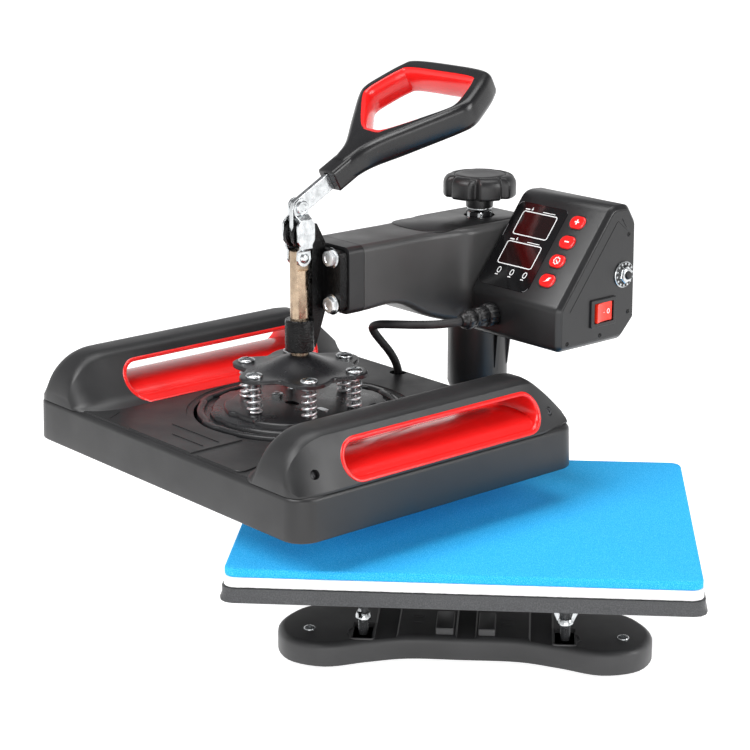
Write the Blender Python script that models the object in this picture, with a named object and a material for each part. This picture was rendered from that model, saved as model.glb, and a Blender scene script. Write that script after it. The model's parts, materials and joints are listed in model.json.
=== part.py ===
"""Swing-away heat press, standing on its base with the heated head swung clear of the lower platen.

World frame: +X right, +Y to the rear, +Z up. The origin is on the underside of the base plate, below the
centre of the lower platen. Everything above the post turns with the swing_axis empty. The press_axis empty
stands under it at the centre of the head, on the press shaft's axis.
"""

import math

import bmesh
import bpy
from mathutils import Matrix, Vector

GAP = 0.0003            # between pieces that touch

# Swing and press line
POST_Y = 0.2126         # post axis behind the platen centre
SWING_BACK = 44.7       # degrees that the arm stands away from the platen
POST_RADIUS = 0.0215
POST_TOP = 0.2965

# Base and lower platen
BASE_HEIGHT = 0.020
BASE_WALL = 0.003
FRAME_PLATE = 0.003
FOOT_HEIGHT = 0.003
FOOT_SPOTS = [(-0.112, -0.070), (0.112, -0.070), (-0.106, 0.243), (0.106, 0.243)]
BASE_HALF_OUTLINE = [
    (0.045, -0.0915), (0.078, -0.1010), (0.112, -0.1128), (0.143, -0.1010), (0.1545, -0.0690),
    (0.141, -0.0360), (0.112, -0.0120), (0.092, 0.0300), (0.088, 0.0900), (0.092, 0.1500),
    (0.112, 0.1900), (0.138, 0.2120), (0.148, 0.2450), (0.134, 0.2760), (0.104, 0.2880),
    (0.074, 0.2800), (0.040, 0.2700),
]
BASE_FRONT_Y = -0.0910
BASE_REAR_Y = 0.2680
STUD_X = 0.083
STUD_REAR_X = 0.060
STUD_FRONT_Y = -0.076
STUD_REAR_Y = 0.085
STUD_RADIUS = 0.004
STUD_LOW = 0.0145
PLATEN_WIDTH = 0.380
PLATEN_DEPTH = 0.298
PLATEN_LOW = 0.0690
PLATEN_EDGE = 0.0112
FOAM_THICKNESS = 0.0085
MAT_THICKNESS = 0.0072
WING_NUT_LOW = 0.0290
GROOVES = [(-0.073, -0.054), (-0.006, 0.010), (0.054, 0.073)]
GROOVE_DEPTH = 0.0015
RAILS = [(-0.0230, -0.0080), (0.0120, 0.0260)]
RAIL_TOP = 0.0257

# Heated head
HEAD_WIDTH = 0.378
HEAD_DEPTH = 0.308
HEAD_LOW = 0.1282
HEAD_DECK = 0.1655
HEAD_WALL = 0.003
HEAD_CORNER = 0.020
DISC_RADIUS = 0.091
RIDGE_TOP = 0.2092
SLOT_LOW = 0.1672
SLOT_HIGH = 0.1985
SLOT_FRONT = -0.1005
SLOT_BACK = 0.1135
SPRING_CIRCLE = 0.050
SPRING_RADIUS = 0.0056
SPRING_WIRE = 0.0013
SPRING_TURNS = 5
SPIDER_LOBE_TOP = 0.2035
SPIDER_THICKNESS = 0.003
DISC_TOP = 0.1715

# Press shaft and toggle, heights on the press axis
SHAFT_RADIUS = 0.008
SHAFT_FOOT = 0.2125
SHAFT_TOP = 0.3075
LEVER_PIVOT_Z = 0.3204
LINK_PIVOT_Z = 0.3444
SHAFT_PIVOT_Z = 0.3008
LEVER_RISE = math.radians(28.0)
GRIP_NECK_Y = 0.0378
GRIP_NECK_Z = 0.3647
GRIP_THICKNESS = 0.026

# Pressure knob
KNOB_RADIUS = 0.0335
KNOB_LOBES = 7
FLUTE_DEPTH = 0.0052

# Arm and control box, distances in front of the post are negative y on the swing axis
ARM_LOW = 0.2500
ARM_HIGH = 0.3090
ARM_HALF = 0.031
COLLAR_FRONT = -0.1823
SEAM_Y = -0.1653
BOX_LEFT = 0.0415
BOX_RIGHT = 0.1500
BOX_WALL = 0.0040
BOX_CHAMFER = 0.0030
BOX_FRONT = -0.0480
BOX_LOW = 0.2160
PANEL_FOOT_Z = 0.2550
PANEL_TOP_Y = 0.0165
PANEL_TOP_Z = 0.3375
BOX_CORNERS = [         # y, z and corner radius, from the foot of the front round to the foot of the slope
    (BOX_FRONT, BOX_LOW, 0.007), (0.0330, BOX_LOW, 0.007), (0.0500, 0.2330, 0.007), (0.0485, 0.3200, 0.009),
    (0.0380, 0.3365, 0.009), (PANEL_TOP_Y, PANEL_TOP_Z, 0.016), (BOX_FRONT, PANEL_FOOT_Z, 0.012),
]
BUTTON_X = 0.1215
BUTTON_STEPS = [0.0829, 0.0628, 0.0436, 0.0240]     # up the sloped panel from its foot
BUTTON_LENGTH = 0.0175
BUTTON_WIDTH = 0.0125
SOCKET_X = 0.0694
SOCKET_Z = 0.2367
PLUG_END_Y = -0.0875
ROCKER_Y = 0.0066
ROCKER_Z = 0.2450
BREAKER_Y = 0.0319
BREAKER_Z = 0.2750
INLET_X = 0.0950
INLET_Z = 0.2600

# Head cable on the swing axis: out of the plug, under the arm and back down into the head
CABLE_RADIUS = 0.00375
CABLE_ROUTE = [
    (0.0694, -0.0878, 0.2365), (0.0680, -0.0960, 0.2362), (0.0600, -0.1080, 0.2352),
    (0.0440, -0.1190, 0.2336), (0.0260, -0.1270, 0.2318), (0.0100, -0.1305, 0.2292),
    (-0.0020, -0.1275, 0.2240), (-0.0085, -0.1195, 0.2160), (-0.0125, -0.1080, 0.2050),
    (-0.0170, -0.0950, 0.1930), (-0.0230, -0.0830, 0.1810), (-0.0290, -0.0740, 0.1700),
    (-0.0320, -0.0700, 0.1620), (-0.0330, -0.0690, 0.1550),
]


# Scene and materials -------------------------------------------------------------------------------------

def clear_scene():
    for obj in list(bpy.data.objects):
        bpy.data.objects.remove(obj, do_unlink=True)


def material(name, colour, roughness, metallic=0.0):
    found = bpy.data.materials.get(name)
    if found:
        return found
    made = bpy.data.materials.new(name)
    made.use_nodes = True
    shader = made.node_tree.nodes["Principled BSDF"]
    shader.inputs["Base Color"].default_value = (*colour, 1.0)
    shader.inputs["Roughness"].default_value = roughness
    shader.inputs["Metallic"].default_value = metallic
    return made


def black_plastic():
    return material("black_plastic", (0.020, 0.020, 0.022), 0.45)


def red_plastic():
    return material("red_plastic", (0.75, 0.020, 0.020), 0.30)


def black_steel():
    return material("black_steel", (0.035, 0.036, 0.038), 0.50, 0.4)


def zinc_steel():
    return material("zinc_steel", (0.62, 0.63, 0.64), 0.28, 1.0)


def bronze():
    return material("bronze", (0.60, 0.46, 0.32), 0.30, 1.0)


def aluminium():
    return material("aluminium", (0.75, 0.76, 0.77), 0.35, 1.0)


def black_casting():
    return material("black_casting", (0.012, 0.012, 0.013), 0.35)


def black_rubber():
    return material("black_rubber", (0.015, 0.015, 0.015), 0.75)


def blue_sponge():
    return material("blue_sponge", (0.010, 0.300, 0.780), 0.90)


def white_foam():
    return material("white_foam", (0.85, 0.86, 0.86), 0.90)


def empty(name, parent=None, location=(0, 0, 0), turn=(0, 0, 0)):
    """An empty that stands on an axis and carries the pieces that turn or slide with it."""
    made = bpy.data.objects.new(name, None)
    bpy.context.scene.collection.objects.link(made)
    made.parent = parent
    made.location = location
    made.rotation_euler = turn
    made.empty_display_size = 0.02
    return made


def piece(name, shape, finish=None, parent=None, location=(0, 0, 0), turn=(0, 0, 0)):
    """An object from a bmesh, with smooth faces and sharp edges over 35 degrees."""
    bmesh.ops.recalc_face_normals(shape, faces=shape.faces)
    mesh = bpy.data.meshes.new(name)
    shape.to_mesh(mesh)
    shape.free()
    mesh.shade_smooth()
    mesh.set_sharp_from_angle(angle=math.radians(35))
    made = bpy.data.objects.new(name, mesh)
    bpy.context.scene.collection.objects.link(made)
    made.parent = parent
    made.location = location
    made.rotation_euler = turn
    if finish:
        mesh.materials.append(finish)
    return made


def combine(target, shape, operation):
    """Cuts, joins or intersects a helper shape with a piece that has the same parent and place."""
    count = sum(1 for modifier in target.modifiers if modifier.type == "BOOLEAN") + 1
    helper = piece(f"{target.name}_{operation.lower()}_{count}", shape, None, target.parent,
                   target.location, target.rotation_euler)
    helper.hide_render = True
    helper.display_type = "WIRE"
    modifier = target.modifiers.new(helper.name, "BOOLEAN")
    modifier.operation = operation
    modifier.object = helper


def cut(target, *shapes):
    for shape in shapes:
        combine(target, shape, "DIFFERENCE")


def join(target, *shapes):
    for shape in shapes:
        combine(target, shape, "UNION")


# Outlines and solids -------------------------------------------------------------------------------------

def arc(centre, radius, start, end, steps):
    """Points on an arc, angles in degrees."""
    angles = [math.radians(start + (end - start) * k / steps) for k in range(steps + 1)]
    return [(centre[0] + radius * math.cos(a), centre[1] + radius * math.sin(a)) for a in angles]


def circle(radius, steps, centre=(0, 0)):
    return arc(centre, radius, 0, 360, steps)[:-1]


def rounded_rectangle(width, depth, radius, steps=3, centre=(0, 0)):
    points = []
    corners = [(1, 1, 0), (-1, 1, 90), (-1, -1, 180), (1, -1, 270)]
    for side_x, side_y, start in corners:
        corner = (centre[0] + side_x * (width / 2 - radius), centre[1] + side_y * (depth / 2 - radius))
        points += arc(corner, radius, start, start + 90, steps)
    return points


def stadium(low_y, high_y, low_z, high_z, steps=6):
    """An upright slot outline with half-round ends, in y and z."""
    radius = (high_z - low_z) / 2
    middle = (low_z + high_z) / 2
    right = arc((high_y - radius, middle), radius, -90, 90, steps)
    left = arc((low_y + radius, middle), radius, 90, 270, steps)
    return right + left


def smooth_closed(points, steps):
    """A closed Catmull-Rom curve through the points."""
    count = len(points)
    result = []
    for k in range(count):
        p0, p1, p2, p3 = (Vector(points[(k + j - 1) % count]) for j in range(4))
        for s in range(steps):
            t = s / steps
            spot = p1 * 2 + (p2 - p0) * t + (p0 * 2 - p1 * 5 + p2 * 4 - p3) * t**2
            spot += (p1 * 3 - p0 - p2 * 3 + p3) * t**3
            result.append(tuple(spot / 2))
    return result


def smooth_open(points, steps):
    """An open Catmull-Rom curve through the points."""
    spots = [Vector(p) for p in points]
    spots = [spots[0] * 2 - spots[1]] + spots + [spots[-1] * 2 - spots[-2]]
    result = []
    for k in range(1, len(spots) - 2):
        p0, p1, p2, p3 = spots[k - 1 : k + 3]
        for s in range(steps):
            t = s / steps
            spot = p1 * 2 + (p2 - p0) * t + (p0 * 2 - p1 * 5 + p2 * 4 - p3) * t**2
            spot += (p1 * 3 - p0 - p2 * 3 + p3) * t**3
            result.append(tuple(spot / 2))
    return result + [tuple(spots[-2])]


def filleted(corners, steps):
    """The polygon with each corner rounded by its own radius, listed in the same direction."""
    spots = [Vector(corner[:2]) for corner in corners]
    result = []
    for k, (*_, radius) in enumerate(corners):
        here = spots[k]
        back = spots[k - 1] - here
        ahead = spots[(k + 1) % len(spots)] - here
        reach = radius / math.tan(back.angle(ahead) / 2)
        reach = min(reach, 0.45 * back.length, 0.45 * ahead.length)
        start = here + back.normalized() * reach
        end = here + ahead.normalized() * reach
        for s in range(steps + 1):
            t = s / steps
            result.append(tuple(start * (1 - t) ** 2 + here * 2 * t * (1 - t) + end * t**2))
    return result


def inset(outline, distance):
    """The outline moved inwards by a distance, along the normals at its points."""
    count = len(outline)
    result = []
    for k in range(count):
        before, here, after = (Vector(outline[(k + j) % count]) for j in (-1, 0, 1))
        along = ((here - before).normalized() + (after - here).normalized()).normalized()
        normal = Vector((-along.y, along.x))
        result.append(tuple(here + normal * distance))
    return result


def place(point, plane, depth):
    """A 3D point from a point in the xy, yz or xz plane and its distance along the third axis."""
    u, v = point
    return {"xy": (u, v, depth), "yz": (depth, u, v), "xz": (u, depth, v)}[plane]


def loft(rings, closed=False):
    """One solid through rings of the same number of points. Open ends are capped."""
    shape = bmesh.new()
    rows = [[shape.verts.new(point) for point in ring] for ring in rings]
    pairs = list(zip(rows, rows[1:]))
    if closed:
        pairs.append((rows[-1], rows[0]))
    for lower, upper in pairs:
        for k in range(len(lower)):
            j = (k + 1) % len(lower)
            shape.faces.new((lower[k], lower[j], upper[j], upper[k]))
    if not closed:
        shape.faces.new(rows[0])
        shape.faces.new(rows[-1])
    return shape


def prism(outline, start, end, plane="xy"):
    return loft([[place(point, plane, depth) for point in outline] for depth in (start, end)])


def box(low, high):
    outline = [(low[0], low[1]), (high[0], low[1]), (high[0], high[1]), (low[0], high[1])]
    return prism(outline, low[2], high[2])


def turned(profile, steps, centre=(0, 0), axis="z", spot=0.0):
    """A solid of revolution. The profile lists (radius, height) from one end to the other."""
    rings = []
    for radius, height in profile:
        ring = circle(max(radius, 1e-5), steps, centre)
        plane = {"z": "xy", "x": "yz", "y": "xz"}[axis]
        rings.append([place(point, plane, spot + height) for point in ring])
    return loft(rings)


def tube(inner, outer, low, high, steps, centre=(0, 0)):
    """A pipe with open ends."""
    walls = [(inner, low), (outer, low), (outer, high), (inner, high)]
    return loft([[(*p, z) for p in circle(r, steps, centre)] for r, z in walls], closed=True)


def moved(shape, matrix):
    shape.transform(matrix)
    return shape


# Base ------------------------------------------------------------------------------------------------

def base_outline(distance=0.0, steps=2):
    left = [(-x, y) for x, y in reversed(BASE_HALF_OUTLINE)]
    ring = [(0, BASE_FRONT_Y)] + BASE_HALF_OUTLINE + [(0, BASE_REAR_Y)] + left
    return inset(smooth_closed(ring, steps), distance)


def stud_spots():
    front = [(side * STUD_X, STUD_FRONT_Y) for side in (-1, 1)]
    rear = [(side * STUD_REAR_X, STUD_REAR_Y) for side in (-1, 1)]
    return front + rear


def make_base_cover():
    """Moulded skin with an open underside, a rounded top edge and holes for the post and studs."""
    rim = BASE_HEIGHT - 0.006
    rings = [
        (BASE_WALL, BASE_HEIGHT - BASE_WALL), (BASE_WALL, 0.0), (0.0, 0.0), (0.0, rim),
        (0.0018, BASE_HEIGHT - 0.0018), (0.006, BASE_HEIGHT),
    ]
    shape = loft([[(*p, z) for p in base_outline(d)] for d, z in rings])
    cover = piece("base_cover", shape, black_plastic())
    cut(cover, prism(circle(POST_RADIUS + 0.001, 24, (0, POST_Y)), 0.010, 0.030))
    for low_x, high_x in GROOVES:
        cut(cover, box((low_x, -0.1200, BASE_HEIGHT - GROOVE_DEPTH), (high_x, -0.0100, 0.030)))
    for low_x, high_x in RAILS:
        join(cover, box((low_x, -0.0855, BASE_HEIGHT - 0.001), (high_x, -0.0490, RAIL_TOP)))
    for x, y in stud_spots()[:2]:
        side = math.copysign(1, x)
        low_x, high_x = sorted((x - side * 0.0085, x + side * 0.0075))
        cut(cover, box((low_x, y - 0.022, 0.010), (high_x, y + 0.008, 0.030)))
    for x, y in stud_spots()[2:]:
        cut(cover, prism(circle(STUD_RADIUS + 0.002, 12, (x, y)), 0.010, 0.030))


def make_base_frame():
    """Steel base plate with the post welded to it through a flange."""
    plate = prism(base_outline(BASE_WALL + GAP), 0.0, FRAME_PLATE)
    frame = piece("base_frame", plate, black_steel())
    flange_top = BASE_HEIGHT - BASE_WALL - 0.001
    profile = [
        (0.038, 0.001), (0.038, 0.008), (0.026, flange_top),
        (POST_RADIUS, flange_top), (POST_RADIUS, POST_TOP - 0.002), (POST_RADIUS - 0.002, POST_TOP),
    ]
    join(frame, turned(profile, 24, (0, POST_Y)))


def make_feet():
    profile = [(0.010, -FOOT_HEIGHT), (0.012, -FOOT_HEIGHT + 0.001), (0.012, -GAP)]
    for number, spot in enumerate(FOOT_SPOTS, 1):
        piece(f"rubber_foot_{number}", turned(profile, 16), black_rubber(), None, (*spot, 0))


def make_platen():
    """Folded steel tray with four threaded studs, and the foam and the sponge mat that lie on it."""
    top = PLATEN_LOW + PLATEN_EDGE
    outer = rounded_rectangle(PLATEN_WIDTH, PLATEN_DEPTH, 0.010)
    flared = inset(outer, -0.0018)
    inner = inset(outer, 0.002)
    rings = [(inner, top - 0.002), (inner, PLATEN_LOW), (flared, PLATEN_LOW), (flared, PLATEN_LOW + 0.0015),
             (outer, PLATEN_LOW + 0.0050), (outer, top)]
    tray = piece("platen_plate", loft([[(*p, z) for p in line] for line, z in rings]), black_steel())
    for spot in stud_spots():
        join(tray, prism(circle(STUD_RADIUS, 10, spot), STUD_LOW, top - 0.001))
    foam_low = top + GAP
    foam_top = foam_low + FOAM_THICKNESS
    layers = [
        ("foam_pad", white_foam(), 0.001, foam_low, foam_top),
        ("sponge_mat", blue_sponge(), 0.002, foam_top + GAP, foam_top + GAP + MAT_THICKNESS),
    ]
    for name, finish, margin, low, high in layers:
        outline = rounded_rectangle(PLATEN_WIDTH - 2 * margin, PLATEN_DEPTH - 2 * margin, 0.010)
        piece(name, prism(outline, low, high), finish)


def make_wing_nuts():
    """Wing nuts on the two front studs, with their origins on the studs' axes."""
    hub = [(0.0070, 0.0), (0.0070, 0.0015), (0.0056, 0.0050)]
    for name, (x, y), turn in zip(("wing_nut_left", "wing_nut_right"), stud_spots(), (75, -12)):
        place_at = ((x, y, WING_NUT_LOW), (0, 0, math.radians(turn)))
        nut = piece(name, turned(hub, 12), zinc_steel(), None, *place_at)
        for side in (-1, 1):
            wing = [(side * 0.0046, 0.0010), (side * 0.0064, 0.0012), (side * 0.0098, 0.0090),
                    (side * 0.0090, 0.0112), (side * 0.0066, 0.0112), (side * 0.0046, 0.0046)]
            join(nut, prism(wing, -0.0014, 0.0014, "xz"))
        cut(nut, prism(circle(STUD_RADIUS + GAP, 10), -0.005, 0.02))


# Arm -----------------------------------------------------------------------------------------------------

def make_column_sleeve(axis):
    """Tube that turns on the post with the arm, and the bush between them."""
    low, high = 0.1475, 0.2468
    bush_outer = POST_RADIUS + GAP + 0.0025
    piece("swivel_bush", tube(POST_RADIUS + GAP, bush_outer, low + 0.002, high, 24), bronze(), axis)
    inner = bush_outer + GAP
    sleeve_rings = [(inner, low), (0.0265, low), (0.0280, low + 0.004), (0.0280, high), (inner, high)]
    shape = loft([[(*p, z) for p in circle(r, 24)] for r, z in sleeve_rings], closed=True)
    sleeve = piece("column_sleeve", shape, black_plastic(), axis)
    for degrees in (-5, 35):
        fin = [(0.0270, 0.2190), (0.0335, 0.2190), (0.0285, 0.1700), (0.0270, 0.1700)]
        blade = moved(prism(fin, -0.002, 0.002, "xz"), Matrix.Rotation(math.radians(degrees), 4, "Z"))
        join(sleeve, blade)


def make_arm_frame(axis):
    """Steel box tube from the post cap to the end plate, with the adjusting nut welded on top."""
    front = COLLAR_FRONT + 0.0022
    shape = box((-0.024, front + 0.006, ARM_LOW + 0.0045), (0.024, 0.010, ARM_HIGH - 0.0045))
    frame = piece("arm_frame", shape, black_steel(), axis)
    cut(frame, box((-0.021, front + 0.004, ARM_LOW + 0.0075), (0.021, -0.026, ARM_HIGH - 0.0075)))
    cap = [(0.0280, 0.2475), (0.0280, 0.3030), (0.0122, 0.3032), (0.0122, 0.3130), (0.0112, 0.3138)]
    join(frame, turned(cap, 24))
    join(frame, box((-0.027, front, ARM_LOW + 0.003), (0.027, front + 0.008, ARM_HIGH - 0.003)))
    cut(frame, box((-0.010, front - 0.002, ARM_LOW + 0.0200), (0.010, front + 0.012, ARM_HIGH - 0.0200)))
    cut(frame, prism(circle(POST_RADIUS + GAP, 24), 0.2400, POST_TOP + GAP))
    cut(frame, prism(circle(0.0053, 12), 0.2900, 0.3200))


def arm_section(y, half, low, high, radius=0.008):
    middle = (low + high) / 2
    ring = rounded_rectangle(2 * half, high - low, radius, 2, (0, middle))
    return [(x, y, z) for x, z in ring]


def make_arm_cover(axis):
    """Moulded shell over the arm. It flares around the post cap and is open in front and below."""
    stations = [
        (SEAM_Y, ARM_HALF, ARM_LOW, ARM_HIGH), (-0.1240, ARM_HALF, ARM_LOW, ARM_HIGH),
        (-0.0890, ARM_HALF, 0.2330, ARM_HIGH), (-0.0600, 0.0350, 0.2240, ARM_HIGH),
        (-0.0440, 0.0405, 0.2200, ARM_HIGH), (0.0200, 0.0405, 0.2200, ARM_HIGH),
        (0.0360, 0.0330, 0.2200, ARM_HIGH - 0.001), (0.0430, 0.0200, 0.2210, ARM_HIGH - 0.003),
    ]
    wall = 0.0025
    cover = piece("arm_cover", loft([arm_section(*s) for s in stations]), black_plastic(), axis)
    inside = [arm_section(y, half - wall, low + wall, high - wall, 0.006) for y, half, low, high in stations]
    inside[0] = [(x, SEAM_Y - 0.005, z) for x, _, z in inside[0]]
    inside[-1] = [(x, 0.0400, z) for x, _, z in inside[-1]]
    cut(cover, loft(inside))
    cut(cover, prism(circle(0.0285, 24), 0.2100, 0.2300))
    cut(cover, prism(circle(0.0140, 20), 0.3000, 0.3200))


def make_arm_collar(axis):
    """End ring of the arm, around the end plate."""
    back = SEAM_Y - GAP
    outer = [arm_section(y, ARM_HALF, ARM_LOW, ARM_HIGH, 0.006) for y in (COLLAR_FRONT, back)]
    collar = piece("arm_collar", loft(outer), black_plastic(), axis)
    opening = [arm_section(y, 0.0275, ARM_LOW + 0.0025, ARM_HIGH - 0.0025, 0.001)
               for y in (COLLAR_FRONT - 0.002, back + 0.002)]
    cut(collar, loft(opening))


# Casting, shaft and toggle, on the press axis ------------------------------------------------------------

def make_casting(axis):
    """Bracket bolted to the arm: flange, web, guide boss for the shaft and a fork for the lever."""
    flange_back = POST_Y + COLLAR_FRONT - GAP
    flange_front = flange_back - 0.0080
    middle = (ARM_LOW + ARM_HIGH) / 2
    flange = rounded_rectangle(0.058, 0.054, 0.006, 2, (0, middle))
    casting = piece("press_casting", prism(flange, flange_front, flange_back, "xz"), black_casting(), axis)
    web = [(0.0075, 0.2240), (0.0125, 0.2200), (flange_front + 0.002, 0.2520), (flange_front + 0.002, 0.3120),
           (0.0150, 0.3290), (0.0080, 0.3300), (0.0080, 0.3092), (0.0094, 0.3070), (0.0094, 0.2480),
           (0.0075, 0.2460)]
    join(casting, prism(web, -0.0065, 0.0065, "yz"))
    ear = circle(0.0115, 16, (0, LEVER_PIVOT_Z))
    join(casting, prism(ear, -0.0070, 0.0070, "yz"))
    join(casting, turned([(0.0124, 0.2185), (0.0127, 0.2200), (0.0127, 0.2450), (0.0118, 0.2465)], 20))
    cut(casting, prism(circle(SHAFT_RADIUS + GAP, 20), 0.2100, 0.3080))
    cut(casting, box((-0.0032, -0.0200, 0.3000), (0.0032, 0.0105, 0.3500)))
    cut(casting, prism(circle(0.0030 + GAP, 12, (0, LEVER_PIVOT_Z)), -0.02, 0.02, "yz"))
    return flange_front


def make_casting_bolts(axis, face):
    """The two bolts on the control box side of the web."""
    for number, height in enumerate((0.3000, 0.2590), 1):
        profile = [(0.0100, 0.0), (0.0100, 0.0012), (0.0080, 0.0014), (0.0080, 0.0052), (0.0068, 0.0060)]
        rings = [[(p[0], -z, p[1]) for p in circle(r, 6)] for r, z in profile]
        piece(f"casting_bolt_{number}", loft(rings), zinc_steel(), axis, (0.0185, face - GAP, height))


def make_fork_pin(axis):
    profile = [(0.0045, -0.0086), (0.0045, -0.0073), (0.0030, -0.0073), (0.0030, 0.0073),
               (0.0045, 0.0073), (0.0045, 0.0086)]
    shape = turned(profile, 12, (0, 0), "x")
    piece("fork_pin", shape, zinc_steel(), axis, (0, 0, LEVER_PIVOT_Z))


def make_shaft(axis):
    """Bronze press shaft with two flats at its top, and the sprung spider plate on its foot."""
    profile = [(SHAFT_RADIUS, SHAFT_FOOT), (SHAFT_RADIUS, SHAFT_TOP - 0.0015),
               (SHAFT_RADIUS - 0.0015, SHAFT_TOP)]
    shaft = piece("press_shaft", turned(profile, 20), bronze(), axis)
    for side in (-1, 1):
        low, high = sorted((side * 0.0050, side * 0.0120))
        cut(shaft, box((low, -0.012, 0.2900), (high, 0.012, 0.3200)))


def spider_top(radius):
    """Height of the domed plate over its distance from the shaft."""
    rise = 0.0125
    span = 0.044
    return SPIDER_LOBE_TOP + rise * (0.5 + 0.5 * math.cos(math.pi * min(radius / span, 1.0)))


def spring_spots():
    angles = [math.radians(30 + 60 * k) for k in range(6)]
    return [(SPRING_CIRCLE * math.cos(a), SPRING_CIRCLE * math.sin(a)) for a in angles]


def make_spider(axis):
    steps = 48
    hole = SHAFT_RADIUS + GAP
    rows = []
    for share in (0.0, 0.22, 0.42, 0.62, 1.0):
        ring = []
        for k in range(steps):
            angle = 2 * math.pi * k / steps
            edge = 0.0545 + 0.0075 * math.cos(6 * (angle - math.radians(30)))
            radius = hole + (edge - hole) * share
            ring.append((radius * math.cos(angle), radius * math.sin(angle), spider_top(radius)))
        rows.append(ring)
    under = [[(x, y, z - SPIDER_THICKNESS) for x, y, z in ring] for ring in reversed(rows)]
    plate = piece("spider_plate", loft(rows + under, closed=True), black_steel(), axis)
    for spot in spring_spots():
        cut(plate, prism(circle(0.0034, 10, spot), 0.1900, 0.2100))


def make_lever(axis):
    """L-shaped flat bar. Its origin is on the fork pin, and its rivet carries the toggle links."""
    crank = LINK_PIVOT_Z - LEVER_PIVOT_Z
    along = Vector((math.cos(LEVER_RISE), math.sin(LEVER_RISE)))
    across = Vector((math.sin(LEVER_RISE), -math.cos(LEVER_RISE)))
    corner = Vector((-0.0060, 0.3499 - LEVER_PIVOT_Z))
    width = 0.015
    reach = 0.072
    foot = arc((0, 0), 0.0080, 180, 360, 6)
    lower = corner + across * width
    inner_corner = lower + along * ((0.0080 - lower.x) / along.x)
    outline = foot + [inner_corner, lower + along * reach, corner + along * reach, corner,
                      (-0.0080, crank - 0.002)]
    bar = piece("lever_bar", prism([tuple(p) for p in outline], -0.0025, 0.0025, "yz"), zinc_steel(), axis)
    cut(bar, prism(circle(0.0030 + GAP, 12), -0.01, 0.01, "yz"))
    rivet = [(0.0060, -0.0072), (0.0060, -0.0056), (0.0030, -0.0056), (0.0030, 0.0056),
             (0.0060, 0.0056), (0.0060, 0.0072)]
    join(bar, turned(rivet, 12, (0, crank), "x"))


def grip_half_outline():
    return [(0.0120, 0.018), (0.0175, 0.036), (0.0400, 0.066), (0.0640, 0.098), (0.0700, 0.112),
            (0.0665, 0.128), (0.0570, 0.152), (0.0450, 0.162)]


def opening_half_outline():
    return [(0.0120, 0.0570), (0.0260, 0.0680), (0.0540, 0.0970), (0.0590, 0.1080), (0.0560, 0.1220),
            (0.0490, 0.1400), (0.0400, 0.1470)]


def mirrored(half, first, last, steps):
    """A smooth closed outline, symmetric in x, from its right half and its two points on the centre line."""
    left = [(-x, y) for x, y in reversed(half)]
    return smooth_closed([first] + half + [last] + left, steps)


def make_handle(axis):
    """Closed grip on the lever bar and the liner in its opening. Local y runs along the bar."""
    neck = (0, GRIP_NECK_Y, GRIP_NECK_Z - LEVER_PIVOT_Z)
    turn = (LEVER_RISE, 0, 0)
    left = [(-x, y) for x, y in reversed(grip_half_outline())]
    neck_end = [(-0.0105, -0.004), (0.0105, -0.004)]
    middle = smooth_closed([(0, -0.004), (0.0105, -0.004)] + grip_half_outline() + [(0, 0.1640)] + left
                           + [neck_end[0]], 2)
    rings = []
    layers = [(-1, 0.0065), (-0.72, 0.0015), (-0.3, 0.0), (0.3, 0.0), (0.72, 0.0015), (1, 0.0065)]
    for level, margin in layers:
        rings.append([(x, y, level * GRIP_THICKNESS / 2 * neck_share(y)) for x, y in inset(middle, margin)])
    grip = piece("handle_grip", loft(rings), black_plastic(), axis, neck, turn)
    opening = mirrored(opening_half_outline(), (0, 0.0555), (0, 0.1480), 2)
    cut(grip, prism(opening, -0.02, 0.02))
    cut(grip, box((-0.0028, -0.02, -0.0079), (0.0028, 0.038, 0.0079)))
    outer = inset(opening, GAP)
    inner = inset(opening, 0.0035)
    top = GRIP_THICKNESS / 2 - 0.001
    walls = [(inner, -top), (outer, -top), (outer, top), (inner, top)]
    shape = loft([[(*p, z) for p in line] for line, z in walls], closed=True)
    piece("handle_insert", shape, red_plastic(), axis, neck, turn)


def neck_share(y):
    """The neck is thinner than the grip."""
    return 0.78 + 0.22 * min(max(y / 0.060, 0.0), 1.0)


def make_links(axis):
    """Two offset-bent toggle links. Their origins are on the lever's rivet."""
    drop = SHAFT_PIVOT_Z - LINK_PIVOT_Z
    for name, side in (("toggle_link_left", -1), ("toggle_link_right", 1)):
        bends = [(0.0030, 0.0078), (0.0030, -0.0058), (0.0090, -0.0092), (0.0090, drop + 0.0082),
                 (0.0054, drop + 0.0056), (0.0054, drop - 0.0072)]
        thickness = 0.0023
        inner = [(side * x, z) for x, z in bends]
        outer = [(side * (x + thickness), z) for x, z in reversed(bends)]
        strip = prism(inner + outer, -0.0072, 0.0072, "xz")
        link = piece(name, strip, zinc_steel(), axis)
        ends = arc((0, 0), 0.0072, 0, 180, 8) + arc((0, drop), 0.0072, 180, 360, 8)
        combine(link, prism(ends, -0.02, 0.02, "yz"), "INTERSECT")
        cut(link, prism(circle(0.0030 + GAP, 12), -0.02, 0.02, "yz"))
        head = [(0.0055, 0.0070), (0.0055, 0.0090), (0.0035, 0.0098)]
        join(link, moved(turned(head, 12, (0, drop), "x"), Matrix.Diagonal((side, 1, 1, 1))))


# Heated head, on the press axis --------------------------------------------------------------------------

def head_outline(shrink):
    return rounded_rectangle(HEAD_WIDTH - 2 * shrink, HEAD_DEPTH - 2 * shrink, HEAD_CORNER - shrink / 2, 4)


def grip_section(side, margin=0.0):
    """Cross-section of a side grip in x and z."""
    points = [(0.1120, 0.1630), (0.1365, 0.2045), (0.1430, RIDGE_TOP), (0.1585, RIDGE_TOP),
              (0.1665, 0.2045), (0.1868, 0.1655), (0.1868, 0.1600), (0.1120, 0.1600)]
    return [(side * x, z) for x, z in inset(points[::-1], margin)]


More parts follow.
